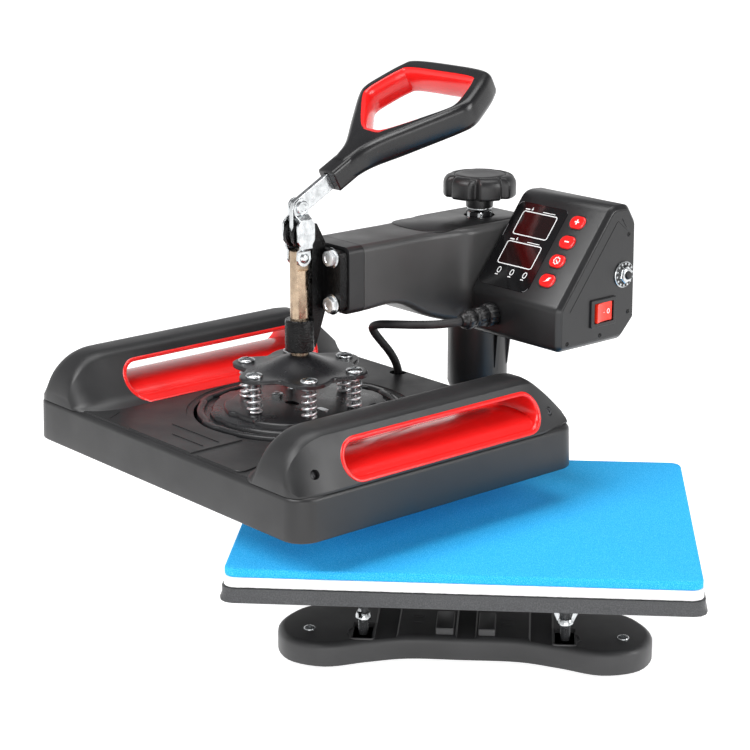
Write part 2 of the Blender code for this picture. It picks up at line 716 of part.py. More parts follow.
def grip_profile():
    """Side view of a grip in y and z: quarter round in front, sloped down at the back."""
    front = [(-0.1080 + 0.0450 * math.cos(math.radians(a)), 0.1660 + 0.0432 * math.sin(math.radians(a)))
             for a in range(180, 89, -15)]
    back = [(0.1050, RIDGE_TOP), (0.1130, 0.2085), (0.1200, 0.2055), (0.1505, 0.1775), (0.1530, 0.1735)]
    return [(-0.1530, 0.1600)] + front + back + [(0.1530, 0.1600)]


def make_head_shell(axis):
    """Moulded head cover: walls, deck with a round opening, and two raised side grips with slots."""
    top = HEAD_DECK
    rings = [(0.0, HEAD_LOW), (0.0, HEAD_LOW + 0.004), (0.0010, top - 0.002), (0.0030, top)]
    shell = piece("head_shell", loft([[(*p, z) for p in head_outline(s)] for s, z in rings]),
                  black_plastic(), axis)
    cavity = [(HEAD_WALL, HEAD_LOW - 0.005), (HEAD_WALL + 0.001, top - HEAD_WALL)]
    cut(shell, loft([[(*p, z) for p in head_outline(s)] for s, z in cavity]))
    cut(shell, prism(circle(DISC_RADIUS + 0.002, 40), 0.1500, 0.1700))
    for side in (-1, 1):
        bar = piece(f"grip_bar_{'left' if side < 0 else 'right'}",
                    prism(grip_section(side), -0.1530, 0.1530, "xz"), None, axis)
        combine(bar, prism(grip_profile(), -0.2, 0.2, "yz"), "INTERSECT")
        combine(bar, prism(head_outline(0.0012), 0.1500, 0.2500), "INTERSECT")
        bar.hide_render = True
        bar.display_type = "WIRE"
        union = shell.modifiers.new(bar.name, "BOOLEAN")
        union.operation = "UNION"
        union.object = bar
    for side in (-1, 1):
        low, high = sorted((side * 0.100, side * 0.200))
        cut(shell, prism(stadium(SLOT_FRONT, SLOT_BACK, SLOT_LOW, SLOT_HIGH), low, high, "yz"))
    cable_spot = (CABLE_ROUTE[-2][0], CABLE_ROUTE[-2][1] + POST_Y)
    cut(shell, prism(circle(CABLE_RADIUS + 0.0030, 12, cable_spot), 0.1580, 0.1700))


def make_grip_inserts(axis):
    """Red liners of the grip slots, each with a low hump that the fingers close over."""
    margin = 0.0006
    for name, side in (("grip_insert_left", -1), ("grip_insert_right", 1)):
        outline = stadium(SLOT_FRONT + GAP, SLOT_BACK - GAP, SLOT_LOW + GAP, SLOT_HIGH - GAP)
        low, high = sorted((side * 0.100, side * 0.200))
        liner = piece(name, prism(outline, low, high, "yz"), red_plastic(), axis)
        combine(liner, prism(grip_section(side, margin), -0.16, 0.16, "xz"), "INTERSECT")
        wall = 0.0025
        over_hump = [(0.1000, 0.1650), (0.1180, 0.1700), (0.1380, 0.1780), (0.1500, 0.1795),
                     (0.1620, 0.1780), (0.1830, 0.1705), (0.2000, 0.1650), (0.2000, 0.2100),
                     (0.1000, 0.2100)]
        inner = stadium(SLOT_FRONT + wall, SLOT_BACK - wall, SLOT_LOW - 0.003, SLOT_HIGH - wall)
        void = prism([(side * x, z) for x, z in over_hump], -0.12, 0.12, "xz")
        helper = piece(f"{name}_void", void, None, axis)
        combine(helper, prism(inner, low, high, "yz"), "INTERSECT")
        helper.hide_render = True
        helper.display_type = "WIRE"
        modifier = liner.modifiers.new(helper.name, "BOOLEAN")
        modifier.operation = "DIFFERENCE"
        modifier.object = helper


def make_head_inside(axis):
    """Cast heating plate, the stepped disc over it, and the sprung screws between disc and spider."""
    plate_top = HEAD_LOW + 0.0153
    plate = rounded_rectangle(HEAD_WIDTH - 0.012, HEAD_DEPTH - 0.012, 0.015, 3)
    piece("heat_platen", prism(plate, HEAD_LOW + 0.0008, plate_top), aluminium(), axis)
    steps = [(DISC_RADIUS, plate_top + GAP), (DISC_RADIUS, 0.1635), (0.0790, 0.1637), (0.0790, 0.1675),
             (0.0650, 0.1677), (0.0650, DISC_TOP)]
    disc = piece("pressure_disc", turned(steps, 40), black_steel(), axis)
    screw = [(0.0030, 0.1600), (0.0030, SPIDER_LOBE_TOP + GAP), (0.0076, SPIDER_LOBE_TOP + GAP),
             (0.0076, SPIDER_LOBE_TOP + 0.0017), (0.0068, SPIDER_LOBE_TOP + 0.0029),
             (0.0048, SPIDER_LOBE_TOP + 0.0035)]
    for number, (x, y) in enumerate(spring_spots(), 1):
        cut(disc, prism(circle(0.0033, 10, (x, y)), 0.1580, 0.1800))
        piece(f"spider_screw_{number}", turned(screw, 12), zinc_steel(), axis, (x, y, 0))
        piece(f"press_spring_{number}", spring_shape(), zinc_steel(), axis, (x, y, 0))


def spring_shape():
    """Coil of round wire between the disc and the spider lobe."""
    low = DISC_TOP + GAP + SPRING_WIRE
    high = SPIDER_LOBE_TOP - SPIDER_THICKNESS - GAP - SPRING_WIRE
    per_turn = 10
    sides = 5
    rings = []
    count = SPRING_TURNS * per_turn
    for k in range(count + 1):
        angle = 2 * math.pi * k / per_turn
        outward = Vector((math.cos(angle), math.sin(angle), 0))
        centre = outward * SPRING_RADIUS + Vector((0, 0, low + (high - low) * k / count))
        ring = []
        for j in range(sides):
            around = 2 * math.pi * j / sides
            wire = outward * math.cos(around) + Vector((0, 0, math.sin(around)))
            ring.append(tuple(centre + wire * SPRING_WIRE))
        rings.append(ring)
    return loft(rings)


# Pressure knob, on the swing axis ------------------------------------------------------------------------

def flute(angle):
    """1 in the middle of a flute of the knob, 0 along its lobes."""
    pitch = 2 * math.pi / KNOB_LOBES
    away = abs((angle + pitch / 2) % pitch - pitch / 2) / (pitch / 2)
    share = min(away / 0.60, 1.0)
    return 1 - share**2 * (3 - 2 * share)


def make_knob(axis):
    """Lobed knob with its moulded-in screw, and the thrust washer under its neck."""
    piece("thrust_washer", tube(0.0053, 0.0115, 0.3150, 0.3167, 20), zinc_steel(), axis)
    steps = 70
    rings = []
    for level, share in ((0.3270, 0.92), (0.3285, 1.0), (0.3410, 1.0), (0.3455, 0.93), (0.3480, 0.78)):
        ring = []
        for k in range(steps):
            angle = 2 * math.pi * k / steps
            radius = share * (KNOB_RADIUS - FLUTE_DEPTH * flute(angle))
            ring.append((radius * math.cos(angle), radius * math.sin(angle), level))
        rings.append(ring)
    knob = piece("pressure_knob", loft(rings), black_plastic(), axis)
    join(knob, turned([(0.0125, 0.3170), (0.0130, 0.3300)], 20))
    join(knob, turned([(0.0040, 0.3003), (0.0050, 0.3013), (0.0050, 0.3335)], 12))


# Control box, on the swing axis --------------------------------------------------------------------------

def panel_frame():
    """Matrix whose x runs across the sloped panel, y up along it and z out of it, from its foot."""
    rise = math.atan2(PANEL_TOP_Z - PANEL_FOOT_Z, PANEL_TOP_Y - BOX_FRONT)
    return Matrix.Translation((0, BOX_FRONT, PANEL_FOOT_Z)) @ Matrix.Rotation(rise, 4, "X")


def make_control_box(axis):
    """Moulded housing, open on the right, and the flat side panel that closes it."""
    profile = filleted(BOX_CORNERS, 3)
    rings = [(BOX_LEFT, 0.0), (BOX_RIGHT - BOX_CHAMFER, 0.0), (BOX_RIGHT, BOX_CHAMFER)]
    shape = loft([[(x, y, z) for y, z in inset(profile, margin)] for x, margin in rings])
    housing = piece("control_housing", shape, black_plastic(), axis)
    inside = inset(profile, BOX_WALL)
    cut(housing, prism(inside, BOX_LEFT + BOX_WALL, BOX_RIGHT + 0.01, "yz"))
    outline = rounded_rectangle(BUTTON_LENGTH + 2 * GAP, BUTTON_WIDTH + 2 * GAP, 0.0063)
    for step in BUTTON_STEPS:
        spot = panel_frame() @ Matrix.Translation((BUTTON_X, step, 0))
        cut(housing, moved(prism(outline, -0.006, 0.006), spot))
    cut(housing, moved(prism(circle(0.0082, 16), -0.006, 0.006), socket_frame()))
    inlet = rounded_rectangle(0.0276, 0.0206, 0.002, 2, (INLET_X, INLET_Z))
    cut(housing, prism(inlet, 0.0400, 0.0600, "xz"))
    side_left, side_right = BOX_RIGHT - 0.0026, BOX_RIGHT + 0.0004
    outline = inset(profile, BOX_WALL + GAP)
    panel = piece("control_side_panel", prism(outline, side_left, side_right, "yz"), black_plastic(), axis)
    bezel_hole = rounded_rectangle(0.0276, 0.0216, 0.001, 1, (ROCKER_Y, ROCKER_Z))
    cut(panel, prism(bezel_hole, side_left - 0.01, side_right + 0.01, "yz"))
    breaker_hole = circle(0.0063, 14, (BREAKER_Y, BREAKER_Z))
    cut(panel, prism(breaker_hole, side_left - 0.01, side_right + 0.01, "yz"))
    return side_right


def make_buttons(axis):
    """Four panel buttons that press straight into the sloped face."""
    outline = rounded_rectangle(BUTTON_LENGTH, BUTTON_WIDTH, 0.0060, 4)
    names = ("button_plus", "button_minus", "button_set", "button_start")
    for name, step in zip(names, BUTTON_STEPS):
        spot = panel_frame() @ Matrix.Translation((BUTTON_X, step, 0))
        rings = [(0.0, -0.0045), (0.0, 0.0010), (0.0008, 0.0016)]
        shape = loft([[(*p, z) for p in inset(outline, d)] for d, z in rings])
        piece(name, shape, red_plastic(), axis, spot.to_translation(), spot.to_euler())


def make_side_controls(axis, face):
    """Rocker switch in its bezel, and the push-to-reset breaker, on the side panel."""
    outer = rounded_rectangle(0.0310, 0.0250, 0.0015, 1, (ROCKER_Y, ROCKER_Z))
    sleeve = rounded_rectangle(0.0270, 0.0210, 0.0010, 1, (ROCKER_Y, ROCKER_Z))
    bezel = piece("rocker_bezel", prism(outer, face + GAP, face + 0.0023, "yz"), black_plastic(), axis)
    join(bezel, prism(sleeve, face - 0.016, face + 0.0010, "yz"))
    well = rounded_rectangle(0.0240, 0.0180, 0.0010, 1, (ROCKER_Y, ROCKER_Z))
    cut(bezel, prism(well, face - 0.0120, face + 0.0100, "yz"))
    pivot_x = face - 0.0040
    tilt = math.radians(8)
    rocker = [(-0.0105, 0.0062), (0.0, 0.0048), (0.0105, 0.0062), (0.0080, -0.0040), (-0.0080, -0.0040)]
    shape = prism([(x, y) for y, x in rocker], -0.0085, 0.0085)
    piece("rocker_switch", shape, red_plastic(), axis, (pivot_x, ROCKER_Y, ROCKER_Z), (0, 0, -tilt))
    spot = (BREAKER_Y, BREAKER_Z)
    ring = [(0.0118, face + GAP), (0.0118, face + 0.0012), (0.0110, face + 0.0018)]
    nut = piece("breaker_bushing", turned(ring, 24, spot, "x"), zinc_steel(), axis)
    join(nut, turned([(0.0078, face + 0.0010), (0.0078, face + 0.0045)], 6, spot, "x"))
    join(nut, turned([(0.0058, face - 0.0120), (0.0058, face + 0.0060)], 14, spot, "x"))
    cut(nut, turned([(0.0038, face - 0.0100), (0.0038, face + 0.0200)], 12, spot, "x"))
    pin = [(0.0035, -0.0060), (0.0035, 0.0078), (0.0028, 0.0086)]
    piece("breaker_button", turned(pin, 12, (0, 0), "x"), black_plastic(), axis, (face, *spot))


def make_mains_inlet(axis):
    """Three-pin appliance inlet on the back of the control box."""
    face = 0.0494
    flange = rounded_rectangle(0.0340, 0.0260, 0.002, 2, (INLET_X, INLET_Z))
    inlet = piece("mains_inlet", prism(flange, face + 0.0012, face + 0.0030, "xz"), black_plastic(), axis)
    body = rounded_rectangle(0.0266, 0.0196, 0.002, 2, (INLET_X, INLET_Z))
    join(inlet, prism(body, face - 0.0160, face + 0.0020, "xz"))
    well = rounded_rectangle(0.0236, 0.0166, 0.002, 2, (INLET_X, INLET_Z))
    cut(inlet, prism(well, face - 0.0130, face + 0.0100, "xz"))
    for offset, height in ((-0.0070, -0.002), (0.0070, -0.002), (0.0, 0.002)):
        x, z = INLET_X + offset, INLET_Z + height
        join(inlet, box((x - 0.0010, face - 0.0140, z - 0.002), (x + 0.0010, face - 0.0020, z + 0.002)))


def socket_frame():
    """Matrix whose z runs out of the front of the control box, from the head cable's socket."""
    return Matrix.Translation((SOCKET_X, BOX_FRONT, SOCKET_Z)) @ Matrix.Rotation(math.radians(90), 4, "X")


def make_head_cable(axis):
    """Socket, screwed plug and the cable from the control box to the head."""
    ring = [(0.0078, -0.0050), (0.0078, GAP), (0.0105, GAP), (0.0105, 0.0095), (0.0090, 0.0105)]
    piece("cable_socket", moved(turned(ring, 16), socket_frame()), black_plastic(), axis)
    length = BOX_FRONT - PLUG_END_Y
    plug = [(0.0078, 0.0108), (0.0078, 0.0190), (0.0088, 0.0195), (0.0088, length - 0.0090),
            (0.0062, length - 0.0010), (0.0055, length)]
    piece("cable_plug", moved(turned(plug, 16), socket_frame()), black_plastic(), axis)
    points = smooth_open(CABLE_ROUTE, 3)
    curve = bpy.data.curves.new("head_cable", "CURVE")
    curve.dimensions = "3D"
    curve.bevel_depth = CABLE_RADIUS
    curve.bevel_resolution = 3
    curve.use_fill_caps = True
    line = curve.splines.new("POLY")
    line.points.add(len(points) - 1)
    for spot, point in zip(line.points, points):
        spot.co = (*point, 1.0)
    curve.materials.append(black_rubber())
    cable = bpy.data.objects.new("head_cable", curve)
    bpy.context.scene.collection.objects.link(cable)
    cable.parent = axis


def main():
    clear_scene()
    make_base_cover()
    make_base_frame()
    make_feet()
    make_platen()
    make_wing_nuts()

    swing_axis = empty("swing_axis", None, (0, POST_Y, 0), (0, 0, math.radians(-SWING_BACK)))
    press_axis = empty("press_axis", swing_axis, (0, -POST_Y, 0))
    lever_axis = empty("lever_axis", press_axis, (0, 0, LEVER_PIVOT_Z))
    link_axis = empty("link_axis", press_axis, (0, 0, LINK_PIVOT_Z))

    make_column_sleeve(swing_axis)
    make_arm_frame(swing_axis)
    make_arm_cover(swing_axis)
    make_arm_collar(swing_axis)
    flange_face = make_casting(press_axis)
    make_casting_bolts(press_axis, flange_face)
    make_fork_pin(press_axis)
    make_shaft(press_axis)
    make_spider(press_axis)
    make_lever(lever_axis)
    make_handle(lever_axis)
    make_links(link_axis)
    make_head_shell(press_axis)
    make_grip_inserts(press_axis)
    make_head_inside(press_axis)
    make_knob(swing_axis)
    side_face = make_control_box(swing_axis)
    make_buttons(swing_axis)
    make_side_controls(swing_axis, side_face)
    make_mains_inlet(swing_axis)
    make_head_cable(swing_axis)


main()
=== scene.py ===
"""Looks of the swing-away heat press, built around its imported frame.

Everything is in metres in the frame's own axes. HEAD and ARM are the two turned frames that most pieces are
placed in: both have x across the arm, y back towards the post and z up. HEAD starts under the press shaft,
ARM on the post.
"""

import json
import math

import bmesh
import bpy
from mathutils import Matrix, Vector


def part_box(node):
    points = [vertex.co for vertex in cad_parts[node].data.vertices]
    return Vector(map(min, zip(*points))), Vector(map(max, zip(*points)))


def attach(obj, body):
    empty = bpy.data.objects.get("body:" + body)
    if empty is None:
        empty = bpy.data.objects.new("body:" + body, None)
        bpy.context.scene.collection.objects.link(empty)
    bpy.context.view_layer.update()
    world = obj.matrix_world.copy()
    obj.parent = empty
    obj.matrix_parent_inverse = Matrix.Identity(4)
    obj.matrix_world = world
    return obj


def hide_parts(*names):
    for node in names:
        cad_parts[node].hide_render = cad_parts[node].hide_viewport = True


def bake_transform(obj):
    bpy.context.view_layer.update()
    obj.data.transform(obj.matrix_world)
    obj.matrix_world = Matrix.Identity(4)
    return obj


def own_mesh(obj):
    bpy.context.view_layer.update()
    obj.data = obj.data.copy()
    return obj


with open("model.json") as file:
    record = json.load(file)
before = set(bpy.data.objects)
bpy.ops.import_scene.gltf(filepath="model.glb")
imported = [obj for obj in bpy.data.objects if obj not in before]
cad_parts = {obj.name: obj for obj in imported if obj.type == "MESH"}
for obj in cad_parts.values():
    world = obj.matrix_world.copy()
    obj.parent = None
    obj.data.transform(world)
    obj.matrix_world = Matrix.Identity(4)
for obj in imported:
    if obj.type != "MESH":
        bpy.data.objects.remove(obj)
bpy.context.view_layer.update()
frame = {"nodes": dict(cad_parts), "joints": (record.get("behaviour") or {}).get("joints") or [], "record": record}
nodes = frame["nodes"]
joints = {joint["name"]: joint for joint in frame["joints"]}


def at(x, y, z):
    return Matrix.Translation((x, y, z))


def turn(degrees, axis="Z"):
    return Matrix.Rotation(math.radians(degrees), 4, axis)


POST = Vector(joints["arm_swing"]["pos_m"])
LEVER_PIN = Vector(joints["lever"]["pos_m"])
LINK_PIN = Vector(joints["link_fold"]["pos_m"])
ACROSS = Vector(joints["lever"]["axis"])
HEADING = Matrix.Rotation(math.atan2(ACROSS.y, ACROSS.x), 4, "Z")
HEAD = at(LEVER_PIN.x, LEVER_PIN.y, 0) @ HEADING
ARM = at(POST.x, POST.y, 0) @ HEADING
WORLD = Matrix.Identity(4)

CAMERA_PLACE = (0.0501, -1.6361, 0.6873)
CAMERA_AIM = (-0.0758, 0.9580, -0.2765)
CAMERA_LENS = 98.2
FLOOR_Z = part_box("rubber_foot_1")[0].z

REACH = 0.2126          # from the press shaft back to the post
LINE_HALF = 0.0004      # half the width of a thin raised line

# Head, in the HEAD frame
HEAD_WIDTH = 0.378
HEAD_DEPTH = 0.308
HEAD_LOW = 0.1282
DECK = 0.1655
RIDGE = 0.2092
HEAD_CORNER = 0.020
DISC_RADIUS = 0.091
SLOT = (-0.1005, 0.1135, 0.1672, 0.1985)       # front, back, low and high edge of a grip's slot
SPRING_CIRCLE = 0.050
LOBE_TOP = 0.2035

# Lower platen, in the world frame
PLATEN_WIDTH = 0.380
PLATEN_DEPTH = 0.298
PLATEN_LOW = 0.0690
FOAM_LOW, FOAM_TOP = 0.0805, 0.0890
MAT_LOW, MAT_TOP = 0.0893, 0.0965

STUD_X, STUD_Y = 0.083, -0.076
REAR_STUD_X, REAR_STUD_Y = 0.060, 0.085

# Handle, along the lever bar from its neck
NECK = Vector((0, 0.0378, 0.3647))
LEVER_RISE = math.radians(28)
SHAFT_PIN_Z = 0.3008
GRIP_THICKNESS = 0.026
HANDLE = HEAD @ Matrix.Translation(NECK) @ Matrix.Rotation(LEVER_RISE, 4, "X")

# Control box, in the ARM frame
BOX_LEFT, BOX_RIGHT = 0.0415, 0.1500
BOX_FRONT = -0.0480
FOOT_Z = 0.2550
SLOPE_TOP = (0.0165, 0.3375)
RISE = math.atan2(SLOPE_TOP[1] - FOOT_Z, SLOPE_TOP[0] - BOX_FRONT)
PANEL = ARM @ at(0, BOX_FRONT, FOOT_Z) @ Matrix.Rotation(RISE, 4, "X")
SIDE_FACE = BOX_RIGHT + 0.0004
SIDE = ARM @ Matrix(((0, 0, 1, SIDE_FACE), (1, 0, 0, 0), (0, 1, 0, 0), (0, 0, 0, 1)))
BOX_CORNERS = [
    (BOX_FRONT, 0.2160, 0.007), (0.0330, 0.2160, 0.007), (0.0500, 0.2330, 0.007), (0.0485, 0.3200, 0.009),
    (0.0380, 0.3365, 0.009), (*SLOPE_TOP, 0.016), (BOX_FRONT, FOOT_Z, 0.012),
]
BUTTONS = {"plus": 0.0829, "minus": 0.0628, "set": 0.0436, "start": 0.0240}
BUTTON_X = 0.1215
BUTTON_SIZE = (0.0175, 0.0125)
ROCKER = (0.0066, 0.2450)
BREAKER = (0.0319, 0.2750)

# Arm, in its own frame
ARM_LOW, ARM_TOP = 0.2200, 0.3090
KNOB_HOLE = 0.0142

# Head cable, in the ARM frame: out of the plug, under the arm and back down into the head
CABLE_DIAMETER = 0.0075
CABLE_ROUTE = [
    (0.0694, -0.0878, 0.2365), (0.0680, -0.0960, 0.2362), (0.0600, -0.1080, 0.2352),
    (0.0440, -0.1190, 0.2336), (0.0260, -0.1270, 0.2318), (0.0100, -0.1305, 0.2292),
    (-0.0020, -0.1275, 0.2240), (-0.0085, -0.1195, 0.2160), (-0.0125, -0.1080, 0.2050),
    (-0.0170, -0.0950, 0.1930), (-0.0230, -0.0830, 0.1810), (-0.0290, -0.0740, 0.1700),
    (-0.0320, -0.0700, 0.1620), (-0.0330, -0.0690, 0.1550),
]


# Materials -----------------------------------------------------------------------------------------------

def finish_of(name, slot, colour, roughness, metallic=0.0, **more):
    """A material with a Principled shader whose even values are set on its own sockets."""
    made = bpy.data.materials.new(name)
    made.use_nodes = True
    made["slot"] = slot
    shader = made.node_tree.nodes["Principled BSDF"]
    shader.inputs["Base Color"].default_value = (*colour, 1.0)
    shader.inputs["Roughness"].default_value = roughness
    shader.inputs["Metallic"].default_value = metallic
    for socket, value in more.items():
        shader.inputs[socket.replace("_", " ")].default_value = value
    return made


def shader_of(material):
    return material.node_tree.nodes["Principled BSDF"]


def noise(material, scale, detail=2.0, stretch=(1, 1, 1)):
    """The factor of a noise texture in the object's own metres."""
    tree = material.node_tree
    place = tree.nodes.new("ShaderNodeTexCoord")
    mapping = tree.nodes.new("ShaderNodeMapping")
    mapping.inputs["Scale"].default_value = stretch
    texture = tree.nodes.new("ShaderNodeTexNoise")
    texture.inputs["Scale"].default_value = scale
    texture.inputs["Detail"].default_value = detail
    tree.links.new(place.outputs["Object"], mapping.inputs["Vector"])
    tree.links.new(mapping.outputs["Vector"], texture.inputs["Vector"])
    return texture.outputs["Fac"]


def cells(material, scale):
    """The distance to the nearest point of a cell texture."""
    tree = material.node_tree
    place = tree.nodes.new("ShaderNodeTexCoord")
    texture = tree.nodes.new("ShaderNodeTexVoronoi")
    texture.inputs["Scale"].default_value = scale
    tree.links.new(place.outputs["Object"], texture.inputs["Vector"])
    return texture.outputs["Distance"]


def ramp(material, factor, stops):
    """Colours at places along a factor. Stops are (place, (r, g, b))."""
    tree = material.node_tree
    node = tree.nodes.new("ShaderNodeValToRGB")
    elements = node.color_ramp.elements
    while len(elements) < len(stops):
        elements.new(0.5)
    for element, (place, colour) in zip(elements, stops):
        element.position = place
        element.color = (*colour, 1.0)
    tree.links.new(factor, node.inputs["Fac"])
    return node.outputs["Color"]


def tint(material, factor, stops):
    material.node_tree.links.new(ramp(material, factor, stops), shader_of(material).inputs["Base Color"])


def vary_roughness(material, factor, low, high):
    node = material.node_tree.nodes.new("ShaderNodeMapRange")
    node.inputs["From Min"].default_value = 0.3
    node.inputs["From Max"].default_value = 0.7
    node.inputs["To Min"].default_value = low
    node.inputs["To Max"].default_value = high
    material.node_tree.links.new(factor, node.inputs["Value"])
    material.node_tree.links.new(node.outputs["Result"], shader_of(material).inputs["Roughness"])


def bump(material, factor, depth, strength=1.0, under=None):
    """Raises the surface by up to depth metres where the factor is 1, over another bump if given."""
    node = material.node_tree.nodes.new("ShaderNodeBump")
    node.inputs["Strength"].default_value = strength
    node.inputs["Distance"].default_value = depth
    material.node_tree.links.new(factor, node.inputs["Height"])
    if under:
        material.node_tree.links.new(under, node.inputs["Normal"])
    material.node_tree.links.new(node.outputs["Normal"], shader_of(material).inputs["Normal"])
    return node.outputs["Normal"]


def moulded_plastic(name, colour, low, high, grain=0.00004):
    """Moulded black plastic: a fine grain, and a sheen that changes a little over each face."""
    made = finish_of(name, "black_plastic", colour, (low + high) / 2)
    tint(made, noise(made, 18, 3.0), [(0.35, colour), (0.70, [c * 1.35 for c in colour])])
    vary_roughness(made, noise(made, 30, 4.0), low, high)
    under = bump(made, noise(made, 60, 2.0), 0.0003, 0.12)
    bump(made, noise(made, 2600, 2.0), grain, 0.5, under)
    return made


def glossy_plastic(name, slot, colour, low=0.16, high=0.28):
    made = finish_of(name, slot, colour, low, 0.0, IOR=1.5)
    tint(made, noise(made, 22, 2.0), [(0.3, [c * 0.88 for c in colour]), (0.7, colour)])
    vary_roughness(made, noise(made, 45, 4.0), low, high)
    bump(made, noise(made, 120, 2.0), 0.0002, 0.10)
    return made


def plated_metal(name, slot, colour, low, high, streaks=(1, 1, 1), depth=0.00002):
    """Bright plating with faint stains and fine scratches along one direction."""
    made = finish_of(name, slot, colour, low, 1.0)
    shade = [c * 0.72 for c in colour]
    tint(made, noise(made, 160, 4.0),
         [(0.30, shade), (0.55, colour), (0.80, [min(c * 1.1, 1) for c in colour])])
    vary_roughness(made, noise(made, 240, 3.0), low, high)
    bump(made, noise(made, 1400, 3.0, streaks), depth, 0.7)
    return made


def wrinkle_paint():
    """Thick glossy black paint over rough cast iron."""
    made = finish_of("wrinkle_paint", "black_casting", (0.002, 0.002, 0.0022), 0.16, Specular_IOR_Level=0.22)
    vary_roughness(made, noise(made, 200, 3.0), 0.06, 0.20)
    under = bump(made, noise(made, 260, 3.0), 0.0006, 0.45)
    bump(made, cells(made, 950), 0.0003, 0.80, under)
    return made


def powder_coat(name, colour, low, high):
    made = finish_of(name, "black_steel", colour, low)
    tint(made, noise(made, 900, 2.0), [(0.40, colour), (0.68, [c * 1.8 for c in colour])])
    vary_roughness(made, noise(made, 35, 3.0), low, high)
    bump(made, noise(made, 1500, 2.0), 0.00012, 0.7)
    return made


def sponge_skin():
    """Sky-blue sponge: soft mottling and fine pores."""
    made = finish_of("sponge_skin", "blue_sponge", (0.010, 0.36, 0.80), 0.9, 0.0, Specular_IOR_Level=0.2)
    tint(made, noise(made, 1500, 3.0), [(0.34, (0.010, 0.30, 0.68)), (0.52, (0.020, 0.40, 0.80)),
                                        (0.74, (0.13, 0.60, 0.96))])
    under = bump(made, noise(made, 14, 2.0), 0.0010, 0.25)
    bump(made, noise(made, 1800, 2.0), 0.00015, 0.8, under)
    return made


def white_foam():
    made = finish_of("white_foam", "white_foam", (0.95, 0.95, 0.95), 0.9)
    tint(made, noise(made, 120, 4.0), [(0.3, (0.88, 0.88, 0.88)), (0.6, (0.97, 0.97, 0.97))])
    bump(made, noise(made, 700, 3.0), 0.0004, 0.6)
    return made


def soft_rubber():
    made = finish_of("soft_rubber", "black_rubber", (0.012, 0.012, 0.013), 0.6)
    tint(made, noise(made, 60, 3.0), [(0.35, (0.008, 0.008, 0.009)), (0.7, (0.020, 0.020, 0.021))])
    bump(made, noise(made, 900, 2.0), 0.0001, 0.6)
    return made


def make_finishes():
    return {
        "body": moulded_plastic("body_black", (0.007, 0.007, 0.0075), 0.30, 0.42),
        "arm": moulded_plastic("arm_black", (0.034, 0.034, 0.034), 0.32, 0.44),
        "head": moulded_plastic("head_black", (0.009, 0.009, 0.0095), 0.36, 0.48),
        "base": moulded_plastic("base_black", (0.030, 0.030, 0.031), 0.40, 0.50),
        "handle": moulded_plastic("handle_black", (0.005, 0.005, 0.0055), 0.20, 0.32),
        "overlay": glossy_plastic("overlay_black", "black_plastic", (0.004, 0.004, 0.0045), 0.06, 0.14),
        "window": glossy_plastic("window_dark", "black_plastic", (0.012, 0.003, 0.003), 0.04, 0.10),
        "print": glossy_plastic("white_print", "black_plastic", (0.85, 0.86, 0.86), 0.35, 0.50),
        "red": glossy_plastic("red_plastic", "red_plastic", (0.78, 0.014, 0.013), 0.14, 0.24),
        "switch_red": glossy_plastic("switch_red", "red_plastic", (0.92, 0.030, 0.010), 0.12, 0.22),
        # Grey for painted highlights: stands for the light caught along the display overlay's rim.
        "painted_highlight_grey": glossy_plastic("painted_highlight_grey", "black_plastic", (0.22, 0.22, 0.23), 0.30, 0.45),
        "box": moulded_plastic("box_black", (0.008, 0.008, 0.0085), 0.28, 0.38),
        "zinc": plated_metal("zinc", "zinc_steel", (0.58, 0.60, 0.61), 0.14, 0.28),
        "bright": plated_metal("bright_steel", "zinc_steel", (0.62, 0.64, 0.65), 0.18, 0.30, depth=0.00001),
        "spring": plated_metal("soft_zinc", "zinc_steel", (0.82, 0.84, 0.85), 0.32, 0.44),
        "bronze": plated_metal("bronze", "bronze", (0.46, 0.35, 0.25), 0.20, 0.34, (1, 1, 0.1)),
        "steel": powder_coat("dark_steel", (0.018, 0.018, 0.020), 0.40, 0.55),
        "tray_gloss": powder_coat("gloss_steel", (0.008, 0.008, 0.009), 0.24, 0.36),
        "tray": powder_coat("tray_steel", (0.034, 0.035, 0.037), 0.45, 0.60),
        "casting": wrinkle_paint(),
        "rubber": soft_rubber(),
        "aluminium": plated_metal("aluminium", "aluminium", (0.78, 0.79, 0.80), 0.30, 0.45),
        "sponge": sponge_skin(),
        "foam": white_foam(),
    }


# Outlines and solids -------------------------------------------------------------------------------------

def arc(centre, radius, start, end, steps):
    """Points on an arc, angles in degrees."""
    angles = [math.radians(start + (end - start) * k / steps) for k in range(steps + 1)]
    return [(centre[0] + radius * math.cos(a), centre[1] + radius * math.sin(a)) for a in angles]


def polar(radius, angle, *height):
    return (radius * math.cos(angle), radius * math.sin(angle), *height)


def circle(radius, steps, centre=(0, 0)):
    return arc(centre, radius, 0, 360, steps)[:-1]


def ellipse(centre, half_width, half_height, steps=24):
    angles = [2 * math.pi * k / steps for k in range(steps)]
    return [(centre[0] + half_width * math.cos(a), centre[1] + half_height * math.sin(a)) for a in angles]


def rounded_rectangle(width, depth, radius, steps=6, centre=(0, 0)):
    points = []
    for side_x, side_y, start in ((1, 1, 0), (-1, 1, 90), (-1, -1, 180), (1, -1, 270)):
        corner = (centre[0] + side_x * (width / 2 - radius), centre[1] + side_y * (depth / 2 - radius))
        points += arc(corner, radius, start, start + 90, steps)
    return points


def stadium(front, back, low, high, steps=16):
    """An upright slot outline with half-round ends, in y and z."""
    radius = (high - low) / 2
    middle = (low + high) / 2
    right = arc((back - radius, middle), radius, -90, 90, steps)
    left = arc((front + radius, middle), radius, 90, 270, steps)
    return right + left


def catmull(p0, p1, p2, p3, t):
    spot = p1 * 2 + (p2 - p0) * t + (p0 * 2 - p1 * 5 + p2 * 4 - p3) * t**2
    return (spot + (p1 * 3 - p0 - p2 * 3 + p3) * t**3) / 2


